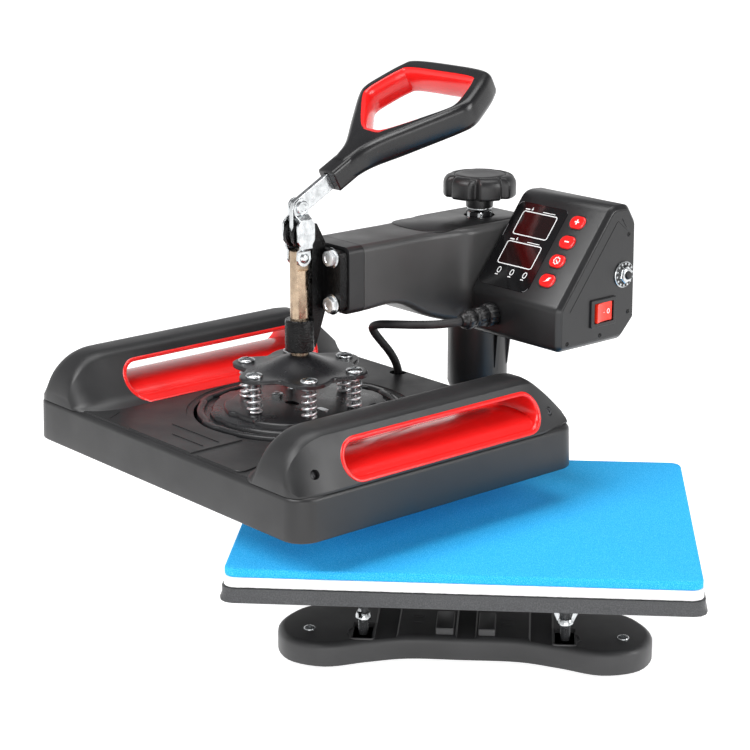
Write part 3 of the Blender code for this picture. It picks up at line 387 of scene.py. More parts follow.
def smooth_closed(points, steps):
    """A closed curve through the points."""
    spots = [Vector(p) for p in points]
    count = len(spots)
    return [tuple(catmull(*(spots[(k + j - 1) % count] for j in range(4)), s / steps))
            for k in range(count) for s in range(steps)]


def smooth_open(points, steps):
    """An open curve through the points."""
    spots = [Vector(p) for p in points]
    spots = [spots[0] * 2 - spots[1]] + spots + [spots[-1] * 2 - spots[-2]]
    result = [tuple(catmull(*spots[k - 1 : k + 3], s / steps))
              for k in range(1, len(spots) - 2) for s in range(steps)]
    return result + [tuple(spots[-2])]


def filleted(corners, steps):
    """The polygon with each corner rounded by its own radius, listed in the same direction."""
    spots = [Vector(corner[:2]) for corner in corners]
    result = []
    for k, (*_, radius) in enumerate(corners):
        here = spots[k]
        back = spots[k - 1] - here
        ahead = spots[(k + 1) % len(spots)] - here
        reach = radius / math.tan(back.angle(ahead) / 2)
        reach = min(reach, 0.45 * back.length, 0.45 * ahead.length)
        start = here + back.normalized() * reach
        end = here + ahead.normalized() * reach
        for s in range(steps + 1):
            t = s / steps
            result.append(tuple(start * (1 - t) ** 2 + here * 2 * t * (1 - t) + end * t**2))
    return result


def inset(outline, distance):
    """The outline moved inwards by a distance, along the normals at its points."""
    count = len(outline)
    result = []
    for k in range(count):
        before, here, after = (Vector(outline[(k + j) % count]) for j in (-1, 0, 1))
        along = ((here - before).normalized() + (after - here).normalized()).normalized()
        result.append(tuple(here + Vector((-along.y, along.x)) * distance))
    return result


def spaced(outline, gap, whole=math.ceil):
    """The outline with points added about a gap apart. whole turns each side's share into a number."""
    result = []
    for k in range(len(outline)):
        here, after = Vector(outline[k]), Vector(outline[(k + 1) % len(outline)])
        count = max(1, whole((after - here).length / gap))
        result += [tuple(here.lerp(after, s / count)) for s in range(count)]
    return result


def loft(rings, closed=False):
    """One surface through rings of the same number of points, with capped or joined ends."""
    shape = bmesh.new()
    rows = [[shape.verts.new(point) for point in ring] for ring in rings]
    pairs = list(zip(rows, rows[1:]))
    if closed:
        pairs.append((rows[-1], rows[0]))
    for lower, upper in pairs:
        for k in range(len(lower)):
            j = (k + 1) % len(lower)
            shape.faces.new((lower[k], lower[j], upper[j], upper[k]))
    if not closed:
        shape.faces.new(rows[0])
        shape.faces.new(rows[-1])
    return shape


def layered(outline, layers, closed=False):
    """A solid from one outline, moved inwards by a margin at each height. Layers are (margin, height)."""
    return loft([[(*p, z) for p in inset(outline, margin)] for margin, z in layers], closed)


def layered_across(outline, layers):
    """The same for an outline in y and z. Layers are (margin, x)."""
    return loft([[(x, y, z) for y, z in inset(outline, margin)] for margin, x in layers])


def round_edge(high, fillet, steps):
    """Layers of a quarter-round upper edge, as (margin, height) from the side to the top."""
    angles = [math.radians(90 * k / steps) for k in range(steps + 1)]
    return [(fillet * (1 - math.cos(a)), high - fillet * (1 - math.sin(a))) for a in angles]


def prism(outline, start, end, plane="xy"):
    rings = []
    for depth in (start, end):
        places = {"xy": lambda p: (*p, depth), "yz": lambda p: (depth, *p),
                  "xz": lambda p: (p[0], depth, p[1])}
        rings.append([places[plane](point) for point in outline])
    return loft(rings)


def box(low, high):
    outline = [(low[0], low[1]), (high[0], low[1]), (high[0], high[1]), (low[0], high[1])]
    return prism(outline, low[2], high[2])


def strip(start, end, half_width):
    """The outline of a straight line with a width."""
    start, end = Vector(start), Vector(end)
    along = (end - start).normalized()
    across = Vector((-along.y, along.x)) * half_width
    return [tuple(p) for p in (start - across, end - across, end + across, start + across)]


def turned(profile, steps, centre=(0, 0), closed=False):
    """A solid of revolution about z. The profile lists (radius, height)."""
    return loft([[(*p, z) for p in circle(max(r, 1e-5), steps, centre)] for r, z in profile], closed)


def swept(points, radius, sides=12):
    """A round solid along a line of points."""
    spots = [Vector(p) for p in points]
    rings = []
    normal = None
    for k, spot in enumerate(spots):
        along = (spots[min(k + 1, len(spots) - 1)] - spots[max(k - 1, 0)]).normalized()
        if normal is None:
            normal = along.orthogonal().normalized()
        normal = (normal - along * normal.dot(along)).normalized()
        other = along.cross(normal)
        rings.append([tuple(spot + normal * radius * math.cos(2 * math.pi * s / sides)
                            + other * radius * math.sin(2 * math.pi * s / sides)) for s in range(sides)])
    return loft(rings)


def ribbon(points, width, height):
    """A low raised line round a closed outline in a plane, from z 0 to its height."""
    half = width / 2
    return layered(points, [(-half, 0.0), (-half, height), (half, height), (half, 0.0)], closed=True)


# Pieces --------------------------------------------------------------------------------------------------

def add(name, data):
    """A new object in the scene."""
    made = bpy.data.objects.new(name, data)
    bpy.context.scene.collection.objects.link(made)
    return made


def mesh_of(name, shape, place=WORLD):
    """The mesh of a bmesh moved to its place, with its faces turned outwards."""
    shape.transform(place)
    bmesh.ops.recalc_face_normals(shape, faces=shape.faces)
    mesh = bpy.data.meshes.new(name)
    shape.to_mesh(mesh)
    shape.free()
    return mesh


def make(name, shape, material, body, place=WORLD, stands_for=(), limit=35):
    """An object from a bmesh in its own frame, which moves with a body and may stand for CAD nodes."""
    mesh = mesh_of(name, shape, place)
    mesh.shade_smooth()
    mesh.set_sharp_from_angle(angle=math.radians(limit))
    mesh.materials.append(material)
    made = add(name, mesh)
    made["limit"] = limit
    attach(made, body)
    if stands_for:
        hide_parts(*stands_for)
    return made


def carve(made, shape, place=WORLD, operation="DIFFERENCE"):
    """Cuts a shape out of a piece, or joins it on, and keeps the result as the piece's mesh."""
    tool = add("tool", mesh_of("tool", shape, place))
    modifier = made.modifiers.new("carve", "BOOLEAN")
    modifier.operation = operation
    modifier.object = tool
    graph = bpy.context.evaluated_depsgraph_get()
    result = bpy.data.meshes.new_from_object(made.evaluated_get(graph))
    made.modifiers.remove(modifier)
    result.set_sharp_from_angle(angle=math.radians(made["limit"]))
    made.data = result
    bpy.data.objects.remove(tool)


def forget(mesh, *layers):
    """Removes shading layers from a mesh, where it has them."""
    for layer in layers:
        if layer in mesh.attributes:
            mesh.attributes.remove(mesh.attributes[layer])


def bevel_edges(part, width, limit):
    """Rounds the edges that turn by more than a limit in degrees."""
    bevel = part.modifiers.new("edge", "BEVEL")
    bevel.width = width
    bevel.segments = 2
    bevel.limit_method = "ANGLE"
    bevel.angle_limit = math.radians(limit)


def soften(made, width):
    """Rounds a piece's edges and smooths the faces between them."""
    forget(made.data, "sharp_edge")
    bevel_edges(made, width, 30)
    made.modifiers.new("normals", "WEIGHTED_NORMAL")


def dress(node, material):
    """Gives a CAD node its material, and softens its edges with a narrow bevel."""
    edge, limit = 0.0008, 35
    part = nodes[node]
    forget(part.data, "custom_normal", "sharp_edge", "sharp_face")
    part.data.materials.clear()
    part.data.materials.append(material)
    weld = part.modifiers.new("weld", "WELD")
    weld.merge_threshold = 0.00001
    flat = part.modifiers.new("flat", "DECIMATE")
    flat.decimate_type = "DISSOLVE"
    flat.angle_limit = math.radians(0.6)
    bevel_edges(part, edge, limit)
    split = part.modifiers.new("split", "EDGE_SPLIT")
    split.split_angle = math.radians(limit + 3)
    normals = part.modifiers.new("normals", "WEIGHTED_NORMAL")
    normals.keep_sharp = True


def dress_frame(looks):
    finishes = {
        "black_plastic": looks["body"], "red_plastic": looks["red"], "black_steel": looks["steel"],
        "zinc_steel": looks["zinc"], "bronze": looks["bronze"], "aluminium": looks["aluminium"],
        "black_casting": looks["casting"], "black_rubber": looks["rubber"],
        "blue_sponge": looks["sponge"], "white_foam": looks["foam"],
    }
    slots = {part["node"]: part["material_slot"] for part in frame["record"]["subparts"]}
    special = {"platen_plate": looks["tray"], "arm_frame": looks["tray_gloss"]}
    for node in nodes:
        dress(node, special.get(node, finishes[slots[node]]))


# Base and lower platen -----------------------------------------------------------------------------------

def base_outline():
    half = [
        (0.045, -0.0915), (0.078, -0.1010), (0.112, -0.1128), (0.143, -0.1010), (0.1545, -0.0690),
        (0.141, -0.0360), (0.112, -0.0120), (0.092, 0.0300), (0.088, 0.0900), (0.092, 0.1500),
        (0.112, 0.1900), (0.138, 0.2120), (0.148, 0.2450), (0.134, 0.2760), (0.104, 0.2880),
        (0.074, 0.2800), (0.040, 0.2700),
    ]
    left = [(-x, y) for x, y in reversed(half)]
    return smooth_closed([(0, -0.0910)] + half + [(0, 0.2680)] + left, 5)


def make_base_cover(looks):
    """Moulded skin with a well rounded edge, three grooves, two rails and pockets under the front studs."""
    height, wall, fillet = 0.0200, 0.0030, 0.0060
    rings = [(wall, height - wall), (wall, 0.0), (0.0003, 0.0), (0.0, 0.0004), *round_edge(height, fillet, 6)]
    cover = make("base_skin", layered(base_outline(), rings), looks["base"], "base",
                 stands_for=["base_cover"], limit=40)
    carve(cover, prism(circle(0.0225, 40, (0, POST.y)), 0.010, 0.030))
    for low, high in ((-0.073, -0.054), (-0.006, 0.010), (0.054, 0.073)):
        groove = [(low + 0.0008, 0.0185), (high - 0.0008, 0.0185), (high + 0.0020, 0.0215),
                  (low - 0.0020, 0.0215)]
        carve(cover, prism(groove, -0.1200, -0.0100, "xz"))
    for side in (-1, 1):
        low, high = sorted((side * (STUD_X - 0.0085), side * (STUD_X + 0.0075)))
        carve(cover, box((low, -0.0980, 0.010), (high, -0.0680, 0.030)))
        carve(cover, prism(circle(0.0060, 20, (side * REAR_STUD_X, REAR_STUD_Y)), 0.010, 0.030))
    for number, (low, high) in enumerate([(-0.0230, -0.0080), (0.0120, 0.0260)], 1):
        outline = rounded_rectangle(high - low, 0.0365, 0.0010, 3, ((low + high) / 2, -0.0672))
        make(f"base_rail_{number}", layered(outline, [(0.0, 0.0192), (0.0, 0.0247), (0.0005, 0.0255),
                                                      (0.0010, 0.0257)]), looks["base"], "base")


def make_base_trim(looks):
    """Screws in the lobes and raised rims round the stud pockets of the base cover."""
    for number, spot in enumerate([(-0.127, -0.082), (0.130, -0.082), (-0.118, 0.244), (0.118, 0.244)], 1):
        make_pan_screw(f"base_screw_{number}", looks["zinc"], "base", WORLD, (*spot, 0.0198), 0.0050, 0.0026)
    for side, name in ((-1, "left"), (1, "right")):
        x, y = side * STUD_X, STUD_Y
        outline = [(x + side * u, y + v) for u, v in
                   ((-0.0100, -0.0240), (0.0092, -0.0240), (0.0092, -0.0170), (0.0120, -0.0130),
                    (0.0120, -0.0060), (0.0092, -0.0020), (0.0092, 0.0100), (-0.0100, 0.0100))]
        rim = smooth_closed(filleted([(*p, 0.0025) for p in outline[::side]], 2), 1)
        make(f"stud_pocket_rim_{name}", ribbon(rim, 0.0014, 0.0012), looks["base"], "base",
             at(0, 0, 0.0195))
    for number, (x, y) in enumerate([(-0.0385, -0.060), (-0.0385, -0.048), (0.0350, -0.060),
                                     (0.0350, -0.048)], 1):
        slot = rounded_rectangle(0.0100, 0.0026, 0.0012, 3, (x, y))
        make(f"base_mark_{number}", prism(slot, 0.0196, 0.0203), looks["steel"], "base")


def make_pan_screw(name, material, body, place, spot, radius, height):
    """A pan head with a cross recess, standing on a spot."""
    profile = [(radius, 0.0), (radius, height * 0.35)]
    for k in range(1, 6):
        a = math.radians(90 * k / 6)
        profile.append((radius * math.cos(a * 0.9), height * (0.35 + 0.65 * math.sin(a))))
    profile.append((0.0, height))
    screw = make(name, turned(profile, 24), material, body, place @ Matrix.Translation(spot))
    arm = radius * 0.58
    for angle in (20, 110):
        cross = box((-arm, -radius * 0.13, height * 0.55), (arm, radius * 0.13, height * 2))
        carve(screw, cross, place @ Matrix.Translation(spot) @ turn(angle))


def threaded(radius, low, high, pitch=0.0012, steps=16):
    """A stud whose thread shows as fine rings."""
    profile = []
    count = int((high - low) / pitch)
    for k in range(count):
        z = low + (high - low) * k / count
        profile += [(radius * 0.86, z), (radius, z + 0.5 * (high - low) / count)]
    profile.append((radius * 0.86, high))
    return turned(profile, steps)


def make_studs(looks):
    for number, (x, y) in enumerate([(-STUD_X, STUD_Y), (STUD_X, STUD_Y), (-REAR_STUD_X, REAR_STUD_Y),
                                     (REAR_STUD_X, REAR_STUD_Y)], 1):
        make(f"platen_stud_{number}", threaded(0.0041, 0.0147, PLATEN_LOW + 0.004), looks["zinc"], "base",
             at(x, y, 0), limit=60)
    for number, x in enumerate((-REAR_STUD_X, REAR_STUD_X), 1):
        nut = layered(circle(0.0078, 6), [(0.0006, 0.0), (0.0, 0.0007), (0.0, 0.0050), (0.0006, 0.0057)])
        make(f"rear_stud_nut_{number}", nut, looks["zinc"], "base", at(x, REAR_STUD_Y, 0.0203))


def edge_wobble(x, y, size):
    """A small irregular offset along a cut foam edge."""
    return size * (math.sin(410 * x + 1.3) * math.sin(370 * y + 0.4) + 0.6 * math.sin(1130 * (x + y))
                   + 0.4 * math.sin(2710 * (x - y) + 0.8))


def soft_slab(low, high, margin, fillet, wobble):
    """A rounded slab with a slightly uneven cut edge."""
    outline = rounded_rectangle(PLATEN_WIDTH - 2 * margin, PLATEN_DEPTH - 2 * margin, 0.010, 8)
    dense = spaced(outline, 0.0022, int)
    layers = [(0.0006, low), (0.0, low + 0.0008), *round_edge(high, fillet, 5)]
    rings = []
    for level, (inward, z) in enumerate(layers):
        line = inset(dense, inward)
        offset = 0.0 if level > 1 else 1.0
        rings.append([(x, y, z + offset * edge_wobble(x, y, wobble) * (1 if level else 0.4))
                      for x, y in line])
    return loft(rings)


def make_pads(looks):
    """White foam and the blue sponge mat, with soft upper edges and slightly uneven lower ones."""
    foam = make("foam_layer", soft_slab(FOAM_LOW + 0.0003, FOAM_TOP, 0.0014, 0.0012, 0.00022), looks["foam"],
                "base", stands_for=["foam_pad"], limit=60)
    mat = make("blue_mat", soft_slab(MAT_LOW, MAT_TOP, 0.0022, 0.0024, 0.00008), looks["sponge"], "base",
               stands_for=["sponge_mat"], limit=60)


# Head ----------------------------------------------------------------------------------------------------

def head_outline(shrink, steps=10):
    return rounded_rectangle(HEAD_WIDTH - 2 * shrink, HEAD_DEPTH - 2 * shrink, HEAD_CORNER - shrink / 2,
                             steps)


def make_head_shell(looks):
    """Moulded cover: drafted walls, a rounded edge round the deck and a round opening over the disc."""
    outline = spaced(head_outline(0.0), 0.012)
    bottom, top = HEAD_LOW, DECK
    levels = [(0.0034, bottom + 0.0005), (0.0008, bottom), (0.0002, bottom + 0.0006), (0.0, bottom + 0.0016),
              (0.0004, bottom + 0.012), (0.0010, top - 0.0050)]
    for k in range(1, 7):
        a = math.radians(15 * k)
        levels.append((0.0010 + 0.0040 * (1 - math.cos(a)), top - 0.0050 + 0.0040 * math.sin(a)))
    levels.append((0.0064, top - 0.0009))
    levels.append((0.0070, top))
    rings = [[(*p, z) for p in inset(outline, margin)] for margin, z in levels]
    opening = []
    for radius, z in ((DISC_RADIUS + 0.0085, top), (DISC_RADIUS + 0.0080, top - 0.0010),
                      (DISC_RADIUS + 0.0022, top - 0.0012), (DISC_RADIUS + 0.0020, top - 0.003)):
        opening.append([(*(Vector(p).normalized() * radius), z) for p in outline])
    under = [[(*p, top - 0.003) for p in inset(outline, 0.0045)],
             [(*p, bottom + 0.006) for p in inset(outline, 0.0036)]]
    shell = make("head_cover", loft(rings + opening + under, closed=True), looks["head"], "head", HEAD,
                 ["head_shell"])
    spot = ((CABLE_ROUTE[-3][0] + CABLE_ROUTE[-2][0]) / 2,
            (CABLE_ROUTE[-3][1] + CABLE_ROUTE[-2][1]) / 2 + REACH)
    hole = prism(circle(0.0080, 20, spot), 0.158, 0.170)
    carve(shell, hole, HEAD)


def ridge_height(y):
    """Height of a grip over the deck along the head: a quarter round in front, a slope down at the back."""
    rise = RIDGE - DECK
    flat, fall = 0.1080, 0.0450
    if y < -flat:
        share = min((-flat - y) / fall, 1.0)
        return rise * math.sqrt(max(1 - share**2.2, 0.0))
    if y < flat:
        return rise
    share = (y - flat) / fall
    return rise * (1 - 0.86 * share**1.35)


def grip_ring(side, y):
    """Cross-section of a side grip at one y: a curved foot, sloped faces and a flat ridge."""
    rise = ridge_height(y)
    share = rise / (RIDGE - DECK)
    inner, outer = 0.1345, 0.1688
    reach = 0.0370 * share
    foot = 0.0182 * (0.35 + 0.65 * share)
    low = DECK - 0.0012
    points = [(inner - reach, low)]
    for along, up in ((0.12, 0.018), (0.24, 0.055), (0.35, 0.12), (0.44, 0.21), (0.72, 0.53), (0.975, 0.860)):
        points.append((inner - reach * (1 - along), DECK + rise * up))
    points += [(inner + 0.0002, DECK + rise * 0.900), (inner + 0.0022, DECK + rise * 0.945),
               (inner + 0.0056, DECK + rise * 0.982), (inner + 0.0105, DECK + rise),
               (outer - 0.0105, DECK + rise), (outer - 0.0056, DECK + rise * 0.982),
               (outer - 0.0022, DECK + rise * 0.945), (outer - 0.0002, DECK + rise * 0.900),
               (outer + 0.0004, DECK + rise * 0.860)]
    for along, up in ((0.28, 0.62), (0.60, 0.33), (0.88, 0.10), (1.0, 0.012)):
        points.append((outer + foot * along, DECK + rise * up))
    points.append((outer + foot, low))
    return [(side * x, y, z) for x, z in points]


def make_grips(looks):
    """The two raised side grips with their slots, and the red liners and palm humps in them."""
    slot = stadium(*SLOT)
    for side, name in ((-1, "left"), (1, "right")):
        stations = [-0.1526 + 0.0446 * (1 - math.cos(math.radians(5 * k))) for k in range(18)]
        stations += [-0.100 + 0.020 * k for k in range(11)]
        stations += [0.108 + 0.0036 * k for k in range(1, 13)]
        grip = make(f"side_grip_{name}", loft([grip_ring(side, y) for y in sorted(stations)]), looks["head"],
                    "head", HEAD, limit=24)
        low, high = sorted((side * 0.090, side * 0.200))
        carve(grip, prism(slot, low, high, "yz"), HEAD)
        carve(grip, prism(head_outline(0.0016, 12), 0.150, 0.250), HEAD, "INTERSECT")
        make(f"grip_liner_{name}", liner_shape(side), looks["red"], "head", HEAD,
             [f"grip_insert_{name}"], limit=50)
        hump = [(0.1030, 0.1655), (0.1120, 0.1672)]
        for k in range(13):
            a = math.radians(-72 + 12 * k)
            hump.append((0.1500 + 0.0330 * math.sin(a) * 1.02, 0.1672 + 0.0122 * math.cos(a)))
        hump += [(0.1850, 0.1665), (0.1850, 0.1655)]
        shape = prism([(side * x, z) for x, z in hump], SLOT[0] + 0.0040, SLOT[1] - 0.0040, "xz")
        palm = make(f"grip_hump_{name}", shape, looks["red"], "head", HEAD, limit=40)
        carve(palm,
              prism(stadium(SLOT[0] + 0.001, SLOT[1] - 0.001, SLOT[2] - 0.002, SLOT[3]), low, high, "yz"),
              HEAD, "INTERSECT")
        for y in (-0.1290, 0.1290):
            tilt = turn(side * 64, "Y")
            pit = HEAD @ at(side * 0.1800, y, DECK + 0.0145) @ tilt
            carve(grip, turned([(0.0040, -0.006), (0.0042, 0.004)], 20), pit)
            make_pan_screw(f"grip_screw_{name}_{'front' if y < 0 else 'back'}", looks["steel"], "head", pit,
                           (0, 0, -0.0058), 0.0034, 0.0016)


def face_x(z, inner):
    """Distance across the head of a grip's inner or outer face at a height, along its straight length."""
    up = (z - DECK) / (RIDGE - DECK)
    if inner:
        table = [(0.0, 0.0975), (0.018, 0.1020), (0.055, 0.1064), (0.12, 0.1105), (0.21, 0.1138),
                 (0.53, 0.1241), (0.845, 0.1340), (1.0, 0.1420)]
    else:
        table = [(0.0, 0.1870), (0.10, 0.1849), (0.33, 0.1800), (0.62, 0.1741), (0.86, 0.1691), (1.0, 0.1640)]
    for (low, a), (high, b) in zip(table, table[1:]):
        if up <= high:
            return a + (b - a) * (up - low) / (high - low)
    return table[-1][1]


def liner_shape(side):
    """A ring round the slot whose lips stand a little proud of the grip's faces."""
    profile = [(-0.0004, 0.0016), (0.0007, 0.0010), (0.0011, 0.0), (0.0009, -0.0012), (0.0, -0.0022),
               (-0.0020, -0.0028)]
    rings = []
    slot = stadium(*SLOT)
    edges = {outset: inset(slot, -outset) for _, outset in profile}
    for proud, outset in profile:
        rings.append([(side * (face_x(max(z, 0.1660), True) - proud), y, z) for y, z in edges[outset]])
    for proud, outset in reversed(profile):
        rings.append([(side * (face_x(max(z, 0.1660), False) + proud), y, z) for y, z in edges[outset]])
    return loft(rings, closed=True)


def make_deck_relief(looks):
    """Low raised panels and plain lines on the deck in front of the disc."""
    height = 0.0011
    panels = [
        [(-0.0495, -0.1468, 0.001), (0.0400, -0.1468, 0.001), (0.0400, -0.0935, 0.001),
         (-0.0495, -0.0880, 0.001)],
        [(0.0480, -0.1468, 0.001), (0.1075, -0.1468, 0.009), (0.1000, -0.1150, 0.004),
         (0.0690, -0.0760, 0.001), (0.0480, -0.0900, 0.001)],
    ]
    for number, corners in enumerate(panels, 1):
        shape = layered(filleted(corners, 5), [(0.0, -0.001), (0.0, height - 0.0004), (0.0004, height)])
        panel = make(f"deck_panel_{number}", shape, looks["head"], "head", HEAD @ at(0, 0, DECK))
        carve(panel, turned([(DISC_RADIUS + 0.0060, 0.150), (DISC_RADIUS + 0.0060, 0.180)], 64), HEAD)
    lines = [[(-0.0100, -0.1290), (0.0330, -0.1290)], [(-0.0330, -0.1130), (0.0330, -0.1130)],
             [(-0.0936, -0.1264), (-0.0839, -0.1421)]]
    for number, (start, end) in enumerate(lines, 1):
        level = DECK + (height if number < 3 else 0.0)
        make(f"deck_line_{number}", prism(strip(start, end, LINE_HALF), -0.0005, 0.0005), looks["head"],
             "head", HEAD @ at(0, 0, level))


def lobed(radius, lobes, depth, width, count=180):
    """A circle with a few flat-topped lobes. Lobes are angles in degrees."""
    ring = []
    for k in range(count):
        angle = 360 * k / count
        away = min(abs((angle - lobe + 180) % 360 - 180) for lobe in lobes)
        share = min(max((width - away) / (width * 0.35), 0.0), 1.0)
        bulge = depth * share * share * (3 - 2 * share)
        ring.append(polar(radius + bulge, math.radians(angle)))
    return ring


def make_disc(looks):
    """Stepped pressed disc over the heating plate, with ring grooves, lobes and the pieces on it."""
    rim_lobes = (30, 92, 150, 210, 262, 330)
    outer = lobed(DISC_RADIUS - 0.0010, rim_lobes, 0.0024, 9)
    ring = layered(outer, [(0.0008, 0.1600), (0.0, 0.1606), (0.0, 0.1662), (0.0007, 0.1670), (0.0052, 0.1670),
                           (0.0062, 0.1662), (0.0066, 0.1630), (0.0066, 0.1600)], closed=True)
    make("disc_rim", ring, looks["tray_gloss"], "head", HEAD, ["pressure_disc"], limit=50)
    make("disc_floor", layered(circle(0.0860, 96), [(0.0, 0.1446), (0.0, 0.1640)]), looks["tray_gloss"],
         "head", HEAD)
    middle = lobed(0.0770, (20, 80, 140, 200, 248, 320), 0.0026, 10)
    make("disc_middle", layered(middle, [(0.0, 0.1445), (0.0, 0.1664), (0.0010, 0.1676), (0.0022, 0.1680)]),
         looks["tray_gloss"], "head", HEAD, limit=50)
    top = lobed(0.0625, (0, 60, 120, 180, 240, 300), 0.0040, 20)
    disc = make("disc_top", layered(top, [(0.0, 0.1660), (0.0, 0.1703), (0.0009, 0.1712), (0.0020, 0.1715)]),
                looks["tray_gloss"], "head", HEAD, limit=50)
    carve(disc, prism(rounded_rectangle(0.0150, 0.0090, 0.0044, 8, (-0.002, -0.0075)), 0.1690, 0.1800), HEAD)
    nut = layered(rounded_rectangle(0.0080, 0.0080, 0.0010, 3), [(0.0, 0.0), (0.0, 0.0026), (0.0006, 0.0032)])
    turned_nut = HEAD @ at(-0.0260, -0.0050, 0.1715) @ Matrix.Rotation(0.4, 4, "Z")
    nut = make("disc_nut", nut, looks["zinc"], "head", turned_nut)
    carve(nut, turned([(0.0026, 0.0005), (0.0026, 0.010)], 20), turned_nut)
    rivet = [(0.0042, 0.0), (0.0040, 0.0010), (0.0028, 0.0020), (0.0, 0.0024)]
    make("disc_rivet", turned(rivet, 20), looks["zinc"], "head", HEAD @ at(-0.040, 0.022, 0.1715))
    tab = prism(rounded_rectangle(0.0120, 0.0060, 0.0028, 5), 0.0, 0.0012)
    make("disc_tab", tab, looks["zinc"], "head", HEAD @ at(0.032, -0.001, 0.1715))


def spring_spots():
    angles = [math.radians(30 + 60 * k) for k in range(6)]
    return [polar(SPRING_CIRCLE, a) for a in angles]


def make_springs(looks):
    """Six screws with cross recesses through the spider's lobes, each inside a coil spring."""
    low, high = 0.1732, 0.1990
    turns, radius, wire = 5.5, 0.0056, 0.00125
    for number, (x, y) in enumerate(spring_spots(), 1):
        place = HEAD @ at(x, y, 0)
        make(f"screw_shank_{number}", threaded(0.0029, 0.1610, LOBE_TOP + 0.0004), looks["zinc"], "head",
             place, [f"spider_screw_{number}"], limit=60)
        make_pan_screw(f"screw_head_{number}", looks["zinc"], "head", place, (0, 0, LOBE_TOP + 0.0003),
                       0.0075, 0.0032)
        count = int(turns * 20)
        line = []
        for k in range(count + 1):
            share = k / count
            eased = min(max((share - 0.09) / 0.82, 0.0), 1.0)
            angle = 2 * math.pi * k / 20 + number
            line.append(polar(radius, angle, low + (high - low) * eased))
        spring = make(f"coil_spring_{number}", swept(line, wire, 8), looks["spring"], "head", place,
                      [f"press_spring_{number}"], limit=80)
        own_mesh(spring)


def spider_height(radius):
    rise, span = 0.0125, 0.044
    return LOBE_TOP + rise * (0.5 + 0.5 * math.cos(math.pi * min(radius / span, 1.0)))


def make_spider(looks):
    """Domed sprung plate with six round lobes, pressed from thick sheet."""
    steps = 180
    hole = 0.0083
    rows = []
    for share in (0.0, 0.08, 0.16, 0.26, 0.36, 0.46, 0.56, 0.66, 0.76, 0.86, 0.94, 0.985, 1.0):
        ring = []
        for k in range(steps):
            angle = 2 * math.pi * k / steps
            wave = 0.5 + 0.5 * math.cos(6 * (angle - math.radians(30)))
            edge = 0.0470 + 0.0150 * wave**0.75
            radius = hole + (edge - hole) * share
            drop = 0.0005 if share == 1.0 else 0.0
            ring.append(polar(radius, angle, spider_height(radius) - drop))
        rows.append(ring)
    under = [[(x, y, z - 0.0029) for x, y, z in ring] for ring in reversed(rows)]
    plate = make("spider", loft(rows + under, closed=True), looks["tray_gloss"], "shaft", HEAD,
                 ["spider_plate"], limit=50)
    for spot in spring_spots():
        carve(plate, prism(circle(0.0034, 20, spot), 0.19, 0.21), HEAD)


# Toggle, handle and casting ------------------------------------------------------------------------------

def make_shaft(looks):
    """Bronze shaft with a rounded shoulder and flats at its top."""
    profile = [(0.0079, 0.2130), (0.0080, 0.2135), (0.0080, 0.3052), (0.0076, 0.3066), (0.0062, 0.3074),
               (0.0, 0.3075)]
    shaft = make("bronze_shaft", turned(profile, 48), looks["bronze"], "shaft", HEAD, ["press_shaft"])
    for side in (-1, 1):
        low, high = sorted((side * 0.0050, side * 0.0120))
        carve(shaft, box((low, -0.012, 0.2900), (high, 0.012, 0.3200)), HEAD)


def make_link(looks, side, name):
    """An offset-bent toggle link with round ends and a domed rivet at its lower end."""
    lower = SHAFT_PIN_Z - LINK_PIN.z
    bends = [(0.0030, 0.0080), (0.0030, -0.0062), (0.0088, -0.0098), (0.0088, lower + 0.0086),
             (0.0054, lower + 0.0058), (0.0054, lower - 0.0072)]
    thickness = 0.0023
    inner = [(side * x, z) for x, z in bends]
    outer = [(side * (x + thickness), z) for x, z in reversed(bends)]
    place = HEAD @ at(0, 0, LINK_PIN.z)
    link = make(f"link_{name}", prism(inner + outer, -0.0100, 0.0100, "xz"), looks["bright"], "links", place,
                [f"toggle_link_{name}"])
    waist = [(-0.0064, -0.0088), (-0.0065, -0.0112), (-0.0086, -0.0136), (-0.0091, -0.0165),
             (-0.0091, -0.0250), (-0.0086, -0.0288), (-0.0065, -0.0318), (-0.0064, -0.0350)]
    outline = arc((0, 0), 0.0076, -10, 190, 24) + smooth_open(waist, 3)
    outline += arc((0, lower), 0.0072, 170, 370, 24) + smooth_open([(-y, z) for y, z in reversed(waist)], 3)
    carve(link, prism(outline, -0.02, 0.02, "yz"), place, "INTERSECT")
    soften(link, 0.0005)
    low_rivet = [(0.0044, 0.0), (0.0044, 0.0008), (0.0036, 0.0018), (0.0020, 0.0023), (0.0, 0.0024)]
    make(f"link_rivet_{name}", turned(low_rivet, 28), looks["bright"], "links",
         place @ at(side * 0.0076, 0, lower) @ turn(90 * side, "Y"))


